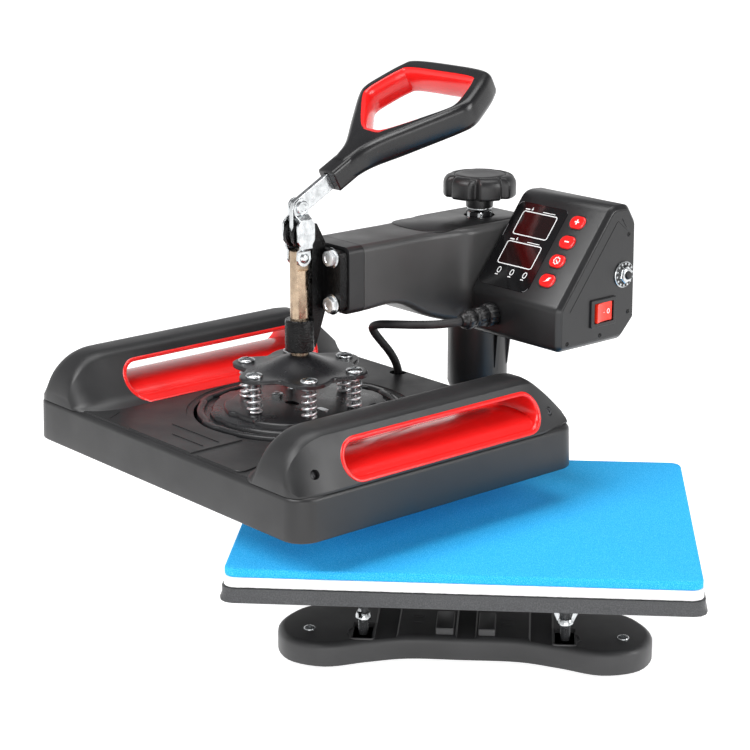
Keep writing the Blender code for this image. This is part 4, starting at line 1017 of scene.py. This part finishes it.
def make_lever(looks):
    """Bright flat bar, bent from the fork pin through the rivet and up into the handle."""
    pivot = LEVER_PIN.z
    crank = LINK_PIN.z - pivot
    along = Vector((math.cos(LEVER_RISE), math.sin(LEVER_RISE)))
    across = Vector((math.sin(LEVER_RISE), -math.cos(LEVER_RISE)))
    top = Vector((-0.0060, 0.3499 - pivot))
    lower = top + across * 0.015
    inner_corner = lower + along * ((0.0080 - lower.x) / along.x)
    outline = arc((0, 0), 0.0080, 180, 360, 16)
    outline += arc(tuple(inner_corner + Vector((0.0012, -0.0009))), 0.0012, 180, 118, 4)
    outline += [tuple(lower + along * 0.072), tuple(top + along * 0.072)]
    outline += arc(tuple(top + Vector((0.0022, -0.0026))), 0.0030, 118, 180, 6)
    outline += [(-0.0080, crank - 0.002)]
    place = HEAD @ at(0, 0, pivot)
    bar = make("flat_bar", prism(outline, -0.0025, 0.0025, "yz"), looks["bright"], "lever", place,
               ["lever_bar"])
    carve(bar, prism(circle(0.0033, 24), -0.01, 0.01, "yz"), place)
    soften(bar, 0.0005)
    head = [(0.0062, 0.0), (0.0062, 0.0009), (0.0054, 0.0016), (0.0034, 0.0017), (0.0030, 0.0012),
            (0.0, 0.0012)]
    for side in (-1, 1):
        make(f"lever_rivet_{side + 2}", turned(head, 32), looks["bright"], "lever",
             place @ at(side * 0.0055, 0, crank) @ turn(90 * side, "Y"))
    make("lever_rivet_pin", prism(circle(0.0029, 20), -0.0060, 0.0060, "yz"), looks["bright"], "lever",
         place @ at(0, 0, crank))


def handle_half():
    return [(0.0120, 0.018), (0.0175, 0.036), (0.0400, 0.066), (0.0640, 0.098), (0.0700, 0.112),
            (0.0665, 0.128), (0.0570, 0.152), (0.0450, 0.162)]


def opening_half():
    return [(0.0120, 0.0570), (0.0260, 0.0680), (0.0540, 0.0970), (0.0590, 0.1080), (0.0560, 0.1220),
            (0.0490, 0.1400), (0.0400, 0.1470)]


def neck_share(y):
    share = min(max(y / 0.060, 0.0), 1.0)
    return 0.78 + 0.22 * share * share * (3 - 2 * share)


def make_handle(looks):
    """Closed grip with rounded edges on a stepped neck, and the red liner of its opening."""
    left = [(-x, y) for x, y in reversed(handle_half())]
    middle = smooth_closed([(0.0, 0.008), (0.0090, 0.0090)] + handle_half() + [(0, 0.1640)] + left
                           + [(-0.0090, 0.0090)], 6)
    middle = [(x * 0.996, y * 0.996) for x, y in middle]
    rings = []
    fillet = 0.0088
    half = GRIP_THICKNESS / 2
    for k in range(-9, 10):
        a = math.radians(10 * k)
        up = math.sin(a)
        level = math.copysign(half - fillet + fillet * abs(up), up) if abs(up) > 1e-6 else 0.0
        margin = fillet * (1 - math.cos(a)) * 0.80
        rings.append([(x, y, level * neck_share(y)) for x, y in inset(middle, margin)])
    grip = make("closed_grip", loft(rings), looks["handle"], "lever", HANDLE, ["handle_grip"], limit=60)
    opening = smooth_closed([(0, 0.0555)] + opening_half() + [(0, 0.1480)]
                            + [(-x, y) for x, y in reversed(opening_half())], 6)
    carve(grip, prism(opening, -0.02, 0.02), HANDLE)
    neck = layered(rounded_rectangle(0.0212, 0.0200, 0.0030, 5),
                   [(0.0010, -0.0040), (0.0, -0.0030), (0.0, 0.0210), (0.0016, 0.0222)])
    sleeve = make("handle_neck", neck, looks["handle"], "lever", HANDLE @ turn(-90, "X"))
    for piece in (grip, sleeve):
        carve(piece, box((-0.0029, -0.02, -0.0080), (0.0029, 0.038, 0.0080)), HANDLE)
    top = half - 0.0006
    layers = [(0.0050, 0.0), (0.0046, top * 0.35), (0.0036, top * 0.70), (0.0024, top * 0.92), (0.0010, top),
              (-0.0006, top + 0.0002), (-0.0012, top - 0.0006)]
    rings = [(margin, -z) for margin, z in reversed(layers[1:])] + layers
    make("grip_lining", layered(opening, rings, closed=True), looks["red"], "lever", HANDLE,
         ["handle_insert"], limit=60)
    for number, (x, y) in enumerate([(-0.0380, 0.0600), (-0.0580, 0.0900)], 1):
        pad = rounded_rectangle(0.0040, 0.0220, 0.0018, 4)
        slope = turn(37)
        make(f"grip_pad_{number}", layered(pad, [(0.0, -0.0008), (0.0, 0.0002), (0.0004, 0.0004)]),
             looks["handle"], "lever", HANDLE @ at(x, y, -half + 0.0007) @ slope)


def make_hex_bolt(name, looks, place):
    """Hexagon head with a chamfered top on a plain washer."""
    make(f"{name}_washer", layered(circle(0.0090, 36), [(0.0004, 0.0), (0.0, 0.0003), (0.0, 0.0011),
                                                        (0.0005, 0.0014)]), looks["zinc"], "arm", place)
    head = make(f"{name}_head", prism(circle(0.0074, 6), 0.0012, 0.0056), looks["spring"], "arm", place)
    cone = turned([(0.0110, 0.0), (0.0110, 0.0034), (0.0074, 0.0050), (0.0062, 0.0057),
                   (0.0042, 0.0057), (0.0036, 0.0050), (0.0, 0.0050)], 40)
    carve(head, cone, place, "INTERSECT")
    soften(head, 0.0003)


def make_casting(looks):
    """The bracket's guide boss, the caps of its fork pin, and the four bolts of its flange."""
    collar_front, gap, flange = 0.1823, 0.0003, 0.0080
    face = REACH - collar_front - gap - flange
    out = turn(90, "X")
    for number, (x, z) in enumerate([(0.0185, 0.3000), (0.0185, 0.2590), (-0.0185, 0.3000),
                                     (-0.0185, 0.2590)], 1):
        place = HEAD @ at(x, face - 0.0001, z) @ out @ Matrix.Rotation(0.3 * number, 4, "Z")
        make_hex_bolt(f"flange_bolt_{number}", looks, place)
    for node in ("casting_bolt_1", "casting_bolt_2"):
        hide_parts(node)
    boss = [(0.0084, 0.2186), (0.0121, 0.2186), (0.0127, 0.2194), (0.0127, 0.2446), (0.0121, 0.2460),
            (0.0112, 0.2464), (0.0084, 0.2464)]
    make("guide_boss", turned(boss, 40, closed=True), looks["casting"], "arm", HEAD)
    for side in (-1, 1):
        cap = [(0.0046, 0.0), (0.0046, 0.0008), (0.0036, 0.0014), (0.0, 0.0015)]
        make(f"fork_pin_cap_{side + 2}", turned(cap, 28), looks["bright"], "arm",
             HEAD @ at(side * 0.0072, 0, LEVER_PIN.z) @ turn(90 * side, "Y"))


# Arm, knob and cable -------------------------------------------------------------------------------------

def make_arm_cover(looks):
    """Long moulded shell: rounded box at the head end, flared and deeper round the post."""
    stations = [
        (-0.1653, 0.0310, 0.2500, ARM_TOP), (-0.1240, 0.0310, 0.2500, ARM_TOP),
        (-0.0890, 0.0312, 0.2330, ARM_TOP),
        (-0.0600, 0.0350, 0.2240, ARM_TOP), (-0.0440, 0.0400, 0.2202, ARM_TOP),
        (-0.0100, 0.0404, ARM_LOW, ARM_TOP),
        (0.0200, 0.0400, ARM_LOW, ARM_TOP), (0.0360, 0.0330, ARM_LOW, 0.3082),
        (0.0428, 0.0200, 0.2208, 0.3062),
    ]
    curve = smooth_open([Vector((y, half, low)) for y, half, low, _ in stations], 5)
    tops = smooth_open([Vector((y, high, 0.0)) for y, _, _, high in stations], 5)
    rings = []
    for (y, half, low), (_, high, _) in zip(curve, tops):
        half, low, high = min(half, 0.0405), max(low, ARM_LOW), min(high, ARM_TOP)
        outline = rounded_rectangle(2 * half, high - low, 0.0065, 6, (0, (low + high) / 2))
        rings.append([(x, y, z) for x, z in outline])
    cover = make("arm_shell", loft(rings), looks["arm"], "arm", ARM, ["arm_cover"], limit=40)
    carve(cover, prism(circle(0.0285, 48), 0.2100, 0.2300), ARM)
    carve(cover, prism(circle(KNOB_HOLE, 40), 0.2940, 0.3200), ARM)
    rim = loft([[(x, y, z) for x, z in rounded_rectangle(0.062 - 2 * m, 0.059 - 2 * m, 0.006, 6, (0, 0.2795))]
                for m, y in ((0.0, -0.1821), (0.0, -0.1658), (0.0006, -0.1654), (0.0030, -0.1654),
                             (0.0030, -0.1821), (0.0006, -0.1823))], closed=True)
    make("arm_rim", rim, looks["body"], "arm", ARM, ["arm_collar"], limit=40)
    make("arm_front", prism(rounded_rectangle(0.0560, 0.0530, 0.002, 3, (0, 0.2795)), -0.1815, -0.1790, "xz"),
         looks["casting"], "arm", ARM)
    lid = smooth_closed([(-0.0300, -0.0900), (0.0300, -0.0900), (0.0352, -0.0440), (0.0340, 0.0200),
                         (0.0200, 0.0330), (-0.0200, 0.0330), (-0.0340, 0.0200), (-0.0352, -0.0440)], 6)
    lid = [(x * 0.86, y * 0.94) for x, y in lid]
    plate = make("arm_lid", layered(lid, [(0.0, -0.0006), (0.0, 0.0002), (0.0003, 0.0004)]), looks["box"],
                 "arm", ARM @ at(0, 0, ARM_TOP))
    carve(plate, prism(circle(KNOB_HOLE, 40), 0.3000, 0.3200), ARM)


def flute(angle):
    """1 in the middle of a flute of the knob, 0 along its lobes."""
    pitch = 2 * math.pi / 7
    away = abs((angle + pitch / 2) % pitch - pitch / 2) / (pitch / 2)
    share = min(away / 0.42, 1.0)
    return 1 - share**2 * (3 - 2 * share)


def make_knob(looks):
    """Lobed knob with a rounded rim, a ring groove and a shallow dished cap, on a short neck."""
    steps = 210
    rings = []
    layers = [(0.010, 0.3272, 0.0), (0.86, 0.3272, 1.0), (0.955, 0.3276, 1.0), (0.99, 0.3286, 1.0),
              (1.0, 0.3300, 1.0),
              (1.0, 0.3395, 1.0), (0.99, 0.3418, 1.0), (0.965, 0.3438, 0.95), (0.92, 0.3456, 0.80),
              (0.86, 0.3468, 0.55), (0.79, 0.3474, 0.25), (0.735, 0.3476, 0.0), (0.715, 0.3470, 0.0),
              (0.700, 0.3464, 0.0), (0.685, 0.3470, 0.0), (0.665, 0.3476, 0.0), (0.50, 0.3473, 0.0),
              (0.010, 0.3471, 0.0)]
    for share, z, fluted in layers:
        ring = []
        for k in range(steps):
            angle = 2 * math.pi * k / steps
            radius = share * (0.0334 - 0.0052 * fluted * flute(angle))
            ring.append(polar(radius, angle, z))
        rings.append(ring)
    make("lobed_knob", loft(rings), looks["body"], "knob", ARM, ["pressure_knob"], limit=50)
    neck = [(0.0112, 0.3168), (0.0124, 0.3174), (0.0126, 0.3200), (0.0130, 0.3262), (0.0150, 0.3276)]
    make("knob_neck", turned(neck, 48), looks["body"], "knob", ARM, limit=50)
    make("knob_screw", threaded(0.0049, 0.3005, 0.3170, 0.0015, 24), looks["zinc"], "knob", ARM, limit=60)
    hexagon = layered(circle(0.0132, 6), [(0.0, 0.2995), (0.0, 0.3125), (0.0008, 0.3136)])
    nut = make("adjusting_nut", hexagon, looks["bright"], "arm", ARM @ Matrix.Rotation(0.35, 4, "Z"))
    carve(nut, prism(circle(0.0052, 24), 0.29, 0.33), ARM)
    ring = [(0.0053, 0.3151), (0.0113, 0.3151), (0.0115, 0.3154), (0.0115, 0.3164), (0.0113, 0.3167),
            (0.0053, 0.3167)]
    make("bright_washer", turned(ring, 48, closed=True), looks["bright"], "knob_washer", ARM,
         ["thrust_washer"])


def ribbed(radius, depth, low, high, ribs, ends=0.0008):
    """A round grip ring with straight ribs."""
    steps = ribs * 8
    rings = []
    for share, z in ((0.90, low), (1.0, low + ends), (1.0, high - ends), (0.90, high)):
        ring = []
        for k in range(steps):
            wave = 0.5 + 0.5 * math.cos(2 * math.pi * k / 8)
            ring.append(polar(share * radius - depth * (1 - wave), 2 * math.pi * k / steps, z))
        rings.append(ring)
    return loft(rings)


def make_head_cable(looks):
    """Ribbed plug and socket, and the cable that bends from the box into the head."""
    out = ARM @ at(0.0694, BOX_FRONT, 0.2367) @ turn(90, "X")
    make("socket_ring", ribbed(0.0104, 0.0007, 0.0002, 0.0104, 14), looks["body"], "arm", out,
         ["cable_socket"], 50)
    make("plug_body", ribbed(0.0088, 0.0007, 0.0105, 0.0215, 12), looks["body"], "arm", out,
         ["cable_plug"], 50)
    rings = [(0.0080, 0.0210), (0.0084, 0.0222), (0.0074, 0.0240), (0.0084, 0.0252), (0.0084, 0.0262)]
    make("plug_collar", turned(rings, 40), looks["body"], "arm", out, limit=50)
    make("plug_nut", ribbed(0.0086, 0.0006, 0.0258, 0.0345, 10), looks["body"], "arm", out, limit=50)
    tail = [(0.0072, 0.0340), (0.0064, 0.0372), (0.0052, 0.0390), (0.0046, 0.0394)]
    make("plug_tail", turned(tail, 40), looks["body"], "arm", out, limit=50)
    line = smooth_open([ARM @ Vector(p) for p in CABLE_ROUTE], 6)
    mesh = mesh_of("cable", swept(line, CABLE_DIAMETER / 2, 20))
    mesh.shade_smooth()
    mesh.materials.append(looks["rubber"])
    cable = add("cable", mesh)
    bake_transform(cable)
    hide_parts("head_cable")


# Control box ---------------------------------------------------------------------------------------------

def make_control_box(looks):
    """Housing with rounded corners, a broad bevel towards the flat side panel, and the panel's line."""
    profile = filleted(BOX_CORNERS, 8)
    layers = [(0.0030, BOX_LEFT), (0.0009, BOX_LEFT + 0.0009), (0.0, BOX_LEFT + 0.0030),
              (0.0, BOX_RIGHT - 0.0042),
              (0.0003, BOX_RIGHT - 0.0036), (0.0034, BOX_RIGHT - 0.0003), (0.0040, BOX_RIGHT)]
    housing = make("box_housing", layered_across(profile, layers), looks["box"], "arm", ARM,
                   ["control_housing"], limit=30)
    inner = inset(profile, 0.0046)
    panel = layered_across(inner, [(0.0, BOX_RIGHT - 0.001), (0.0, BOX_RIGHT + 0.0001), (0.0003, SIDE_FACE)])
    side = make("box_side", panel, looks["box"], "arm", ARM, ["control_side_panel"], limit=30)
    for piece in (housing, side):
        carve(piece, prism(rounded_rectangle(0.0246, 0.0186, 0.0006, 2, ROCKER), -0.012, 0.010), SIDE)
        carve(piece, prism(circle(0.0061, 24, BREAKER), -0.012, 0.010), SIDE)
    line = [(y, z) for y, z in inset(inner, 0.0095) if z > 0.248 and y < 0.038 and (y < 0.018 or z > 0.310)]
    line.sort(key=sum)
    for number, (a, b) in enumerate(zip(line, line[1:])):
        if math.dist(a, b) < LINE_HALF:
            continue
        make(f"side_line_{number}", prism(strip(a, b, LINE_HALF), -0.0002, 0.0003), looks["box"], "arm", SIDE)
    for number, (y, z) in enumerate([(0.0374, 0.310), (0.0394, 0.240), (0.0044, 0.224), (-0.0366, 0.223)], 1):
        screw = [(0.0021, 0.0), (0.0019, 0.0003), (0.0011, 0.0004), (0.0008, 0.0001), (0.0, 0.0001)]
        make(f"side_screw_{number}", turned(screw, 20), looks["casting"], "arm", SIDE @ at(y, z, 0))


def flat_shape(name, outline, looks, material, place, height=0.00025, base=0.0, body="arm"):
    return make(name, prism(outline, base, base + height), looks[material], body, place)


def make_display(looks):
    """Glossy overlay with two outlined windows, three lamp outlines and small plain ticks, and grey painted
    highlights on the overlay's rim.
    """
    sheet = rounded_rectangle(0.0620, 0.0850, 0.0060, 8, (0.0750, 0.0500))
    make("display_overlay", layered(sheet, [(0.0, -0.0004), (0.0, 0.0002), (0.00025, 0.0004)]),
         looks["overlay"], "arm", PANEL, limit=30)
    up = PANEL @ at(0, 0, 0.0004)
    # Painted highlights: grey arcs at two corners and a short strip on the left edge stand for light caught on the
    # overlay's rim.
    corners = [((0.0500, 0.0870), 90, 165), ((0.1000, 0.0132), -88, -10)]
    for number, (centre, start, end) in enumerate(corners, 1):
        outer, inner = (arc(centre, radius, start, end, 8) for radius in (0.0052, 0.0052 * 0.93))
        flat_shape(f"overlay_glint_{number}", outer + inner[::-1], looks, "painted_highlight_grey", up, 0.0001)
    edge = [(0.04475, 0.0560), (0.04515, 0.0560), (0.04515, 0.0680), (0.04475, 0.0680)]
    flat_shape("overlay_glint_3", edge, looks, "painted_highlight_grey", up, 0.0001)
    for number, (low, high) in enumerate([(0.0600, 0.0835), (0.0300, 0.0525)], 1):
        outline = rounded_rectangle(0.0420, high - low, 0.0024, 5, (0.0760, (low + high) / 2))
        make(f"window_frame_{number}", ribbon(outline, 0.0009, 0.00012), looks["print"], "arm", up)
        flat_shape(f"window_glass_{number}", inset(outline, 0.0007), looks, "window", up, 0.00006)
        top = high + 0.0022
        ticks = [rounded_rectangle(0.0056, 0.0011, 0.0004, 2, (0.0585, top)),
                 circle(0.0010, 12, (0.0640, top + 0.0004)),
                 rounded_rectangle(0.0007, 0.0034, 0.0003, 2, (0.0640, top + 0.0008)),
                 rounded_rectangle(0.0150, 0.0007, 0.0003, 2, (0.0850, top - 0.0002))]
        for k, tick in enumerate(ticks):
            flat_shape(f"tick_{number}_{k}", tick, looks, "print", up, 0.0001)
    for number, x in enumerate((0.0620, 0.0780, 0.0940), 1):
        oval = ellipse((x, 0.0235), 0.0019, 0.0027)
        make(f"lamp_outline_{number}", ribbon(oval, 0.0008, 0.0001), looks["print"], "arm", up)
        flat_shape(f"lamp_tick_{number}", rounded_rectangle(0.0036, 0.0009, 0.0003, 2, (x - 0.0008, 0.0188)),
                   looks, "print", up, 0.0001)


def gear_outline(radius, teeth=8):
    points = []
    for k in range(teeth):
        for step, share in ((-0.30, 0.80), (-0.17, 1.0), (0.17, 1.0), (0.30, 0.80)):
            points.append(polar(share * radius, 2 * math.pi * (k + step) / teeth))
    return points


def make_buttons(looks):
    """Four pillow-shaped red buttons in raised rims, with a plus, a minus, a gear and a bolt on them."""
    outline = rounded_rectangle(*BUTTON_SIZE, 0.0060, 10)
    for name, step in BUTTONS.items():
        place = PANEL @ at(BUTTON_X, step, 0)
        body = f"button_{name}"
        layers = [(0.0, -0.0040), (0.0, 0.0004), (0.0002, 0.0009), (0.0007, 0.0013), (0.0014, 0.0015)]
        make(f"key_{name}", layered(outline, layers), looks["red"], body, place, [body], limit=60)
        rim = layered(outline, [(-0.0012, 0.0), (-0.0009, 0.0003), (-0.0005, 0.0003), (-0.0002, 0.0)], True)
        make(f"key_rim_{name}", rim, looks["box"], "arm", place, limit=60)
        up = place @ at(0, 0, 0.00145)
        if name in ("plus", "minus"):
            flat_shape(f"glyph_{name}", rounded_rectangle(0.0052, 0.0012, 0.0003, 2), looks, "print", up,
                       0.00015, body=body)
        if name == "plus":
            flat_shape("glyph_plus_upright", rounded_rectangle(0.0012, 0.0052, 0.0003, 2), looks, "print", up,
                       0.00018, body=body)
        if name == "set":
            make("glyph_gear", ribbon(gear_outline(0.0036), 0.0007, 0.00015), looks["print"], body, up)
            check = [(-0.0010, 0.0002), (-0.0002, -0.0010), (0.0026, -0.0030), (0.0030, -0.0024),
                     (0.0006, -0.0004), (-0.0004, 0.0010)]
            flat_shape("glyph_gear_pointer", check[::-1], looks, "print", up, 0.00015, body=body)
        if name == "start":
            bolt = [(-0.0032, -0.0026), (0.0002, -0.0002), (-0.0008, 0.0002), (0.0012, 0.0026),
                    (0.0040, 0.0030), (0.0018, 0.0004), (0.0030, 0.0000)]
            flat_shape("glyph_bolt", bolt[::-1], looks, "print", up, 0.00015, body=body)


def make_side_controls(looks):
    """Rocker in its bezel, and the breaker with its notched ring, hexagon nut and black pin."""
    y, z = ROCKER
    outer = rounded_rectangle(0.0310, 0.0250, 0.0010, 3, (y, z))
    bezel = make("switch_bezel", layered(outer, [(0.0, 0.0), (0.0, 0.0016), (0.0007, 0.0022)]), looks["body"],
                 "arm", SIDE, ["rocker_bezel"])
    carve(bezel, prism(rounded_rectangle(0.0242, 0.0182, 0.0006, 2, (y, z)), -0.010, 0.010), SIDE)
    place = SIDE @ at(y, z, -0.0040) @ turn(8, "Y")
    curve = [(-0.0106, -0.0040), (0.0106, -0.0040), (0.0106, 0.0064), (0.0070, 0.0054), (0.0030, 0.0049),
             (0.0, 0.0048), (-0.0030, 0.0049), (-0.0070, 0.0054), (-0.0106, 0.0064)]
    rocker = make("switch_rocker", prism(curve, -0.0086, 0.0086, "xz"), looks["switch_red"], "rocker", place,
                  ["rocker_switch"])
    soften(rocker, 0.0004)
    ring = ellipse((0.0060, 0), 0.0016, 0.0020)
    make("switch_ring", ribbon(ring, 0.0007, 0.0005), looks["print"], "rocker",
         place @ at(0, 0, 0.0053), limit=60)
    flat_shape("switch_tick", rounded_rectangle(0.0012, 0.0005, 0.0002, 2, (0.0006, -0.0006)), looks, "print",
               place @ at(0, 0, 0.0049), 0.0002, body="rocker")
    spot = SIDE @ at(*BREAKER, 0)
    ring = [(0.0066, 0.0003), (0.0118, 0.0003), (0.0118, 0.0012), (0.0112, 0.0017), (0.0066, 0.0017)]
    make("breaker_dial", turned(ring, 48, closed=True), looks["zinc"], "arm", spot, ["breaker_bushing"])
    band = [(0.0070, 0.0016), (0.0110, 0.0016), (0.0109, 0.0019), (0.0071, 0.0019)]
    make("breaker_dial_face", turned(band, 48, closed=True), looks["overlay"], "arm", spot)
    for k in range(14):
        tick = box((0.0088, -0.0008, 0.0016), (0.0106, 0.0008, 0.0021))
        make(f"breaker_tick_{k}", tick, looks["zinc"], "arm",
             spot @ Matrix.Rotation(2 * math.pi * (k + 0.3) / 14, 4, "Z"))
    nut = layered(circle(0.0079, 6), [(0.0, 0.0016), (0.0, 0.0040), (0.0006, 0.0046)])
    nut = make("breaker_nut", nut, looks["bright"], "arm", spot @ Matrix.Rotation(0.3, 4, "Z"))
    barrel = make("breaker_barrel", threaded(0.0058, -0.0080, 0.0060, 0.0010, 32), looks["zinc"], "arm", spot,
                  limit=60)
    for piece in (nut, barrel):
        carve(piece, prism(circle(0.0039, 24), -0.010, 0.020), spot)
    pin = [(0.0035, -0.0050), (0.0035, 0.0070), (0.0033, 0.0078), (0.0026, 0.0084), (0.0014, 0.0086),
           (0.0, 0.0086)]
    make("breaker_pin", turned(pin, 28), looks["body"], "breaker", spot, ["breaker_button"], limit=60)


# Camera and studio ---------------------------------------------------------------------------------------

def make_camera():
    data = bpy.data.cameras.new("camera")
    data.lens = CAMERA_LENS
    data.sensor_width = 36
    data.clip_end = 30
    camera = add("camera", data)
    camera.location = CAMERA_PLACE
    camera.rotation_euler = Vector(CAMERA_AIM).to_track_quat("-Z", "Y").to_euler()
    bpy.context.scene.camera = camera


def make_light(name, place, aim, size, power):
    data = bpy.data.lights.new(name, "AREA")
    data.shape = "RECTANGLE"
    data.size, data.size_y = size
    data.energy = power
    light = add(name, data)
    light.location = place
    light.rotation_euler = (Vector(aim) - Vector(place)).to_track_quat("-Z", "Y").to_euler()


def make_world():
    """White below and at the horizon, grey above: the surround is white and the tops stay dark."""
    world = bpy.data.worlds.new("surround")
    world.use_nodes = True
    tree = world.node_tree
    place = tree.nodes.new("ShaderNodeTexCoord")
    split = tree.nodes.new("ShaderNodeSeparateXYZ")
    shade = tree.nodes.new("ShaderNodeValToRGB")
    low, high = shade.color_ramp.elements
    low.position, low.color = 0.12, (1.0, 1.0, 1.0, 1.0)
    high.position, high.color = 0.55, (0.22, 0.22, 0.23, 1.0)
    tree.links.new(place.outputs["Generated"], split.inputs["Vector"])
    tree.links.new(split.outputs["Z"], shade.inputs["Fac"])
    tree.links.new(shade.outputs["Color"], tree.nodes["Background"].inputs["Color"])
    tree.nodes["Background"].inputs["Strength"].default_value = 1.0
    bpy.context.scene.world = world


def make_studio():
    make_world()
    shape = bmesh.new()
    bmesh.ops.create_grid(shape, x_segments=8, y_segments=8, size=10.0)
    mesh = bpy.data.meshes.new("floor")
    shape.to_mesh(mesh)
    shape.free()
    floor = add("floor", mesh)
    floor.location = (0, 0, FLOOR_Z)
    pale = finish_of("pale_floor", "", (0.50, 0.50, 0.50), 0.8, Specular_IOR_Level=0.1)
    tint(pale, noise(pale, 0.5, 1.0), [(0.3, (0.50, 0.50, 0.50)), (0.7, (0.52, 0.52, 0.52))])
    shader_of(pale).inputs["Emission Color"].default_value = (1, 1, 1, 1)
    shader_of(pale).inputs["Emission Strength"].default_value = 0.90
    mesh.materials.append(pale)
    make_light("key", (-1.2, -1.0, 1.9), (-0.05, 0.05, 0.2), (1.6, 1.2), 45)
    make_light("top", (0.0, 0.3, 2.2), (0.0, 0.1, 0.2), (2.0, 1.0), 25)
    make_light("fill", (1.8, -0.6, 1.0), (0.0, 0.1, 0.2), (0.8, 1.2), 20)
    make_light("front", (0.3, -2.6, 0.4), (0.0, -0.1, 0.05), (2.4, 0.5), 14)
    bpy.context.scene.view_settings.view_transform = "Standard"


# The whole press -----------------------------------------------------------------------------------------

make_camera()
make_studio()
looks = make_finishes()
dress_frame(looks)
make_base_cover(looks)
make_base_trim(looks)
make_studs(looks)
make_pads(looks)
make_head_shell(looks)
make_grips(looks)
make_deck_relief(looks)
make_disc(looks)
make_springs(looks)
make_spider(looks)
make_shaft(looks)
for side, name in ((-1, "left"), (1, "right")):
    make_link(looks, side, name)
make_lever(looks)
make_handle(looks)
make_casting(looks)
make_arm_cover(looks)
make_knob(looks)
make_head_cable(looks)
make_control_box(looks)
make_display(looks)
make_buttons(looks)
make_side_controls(looks)
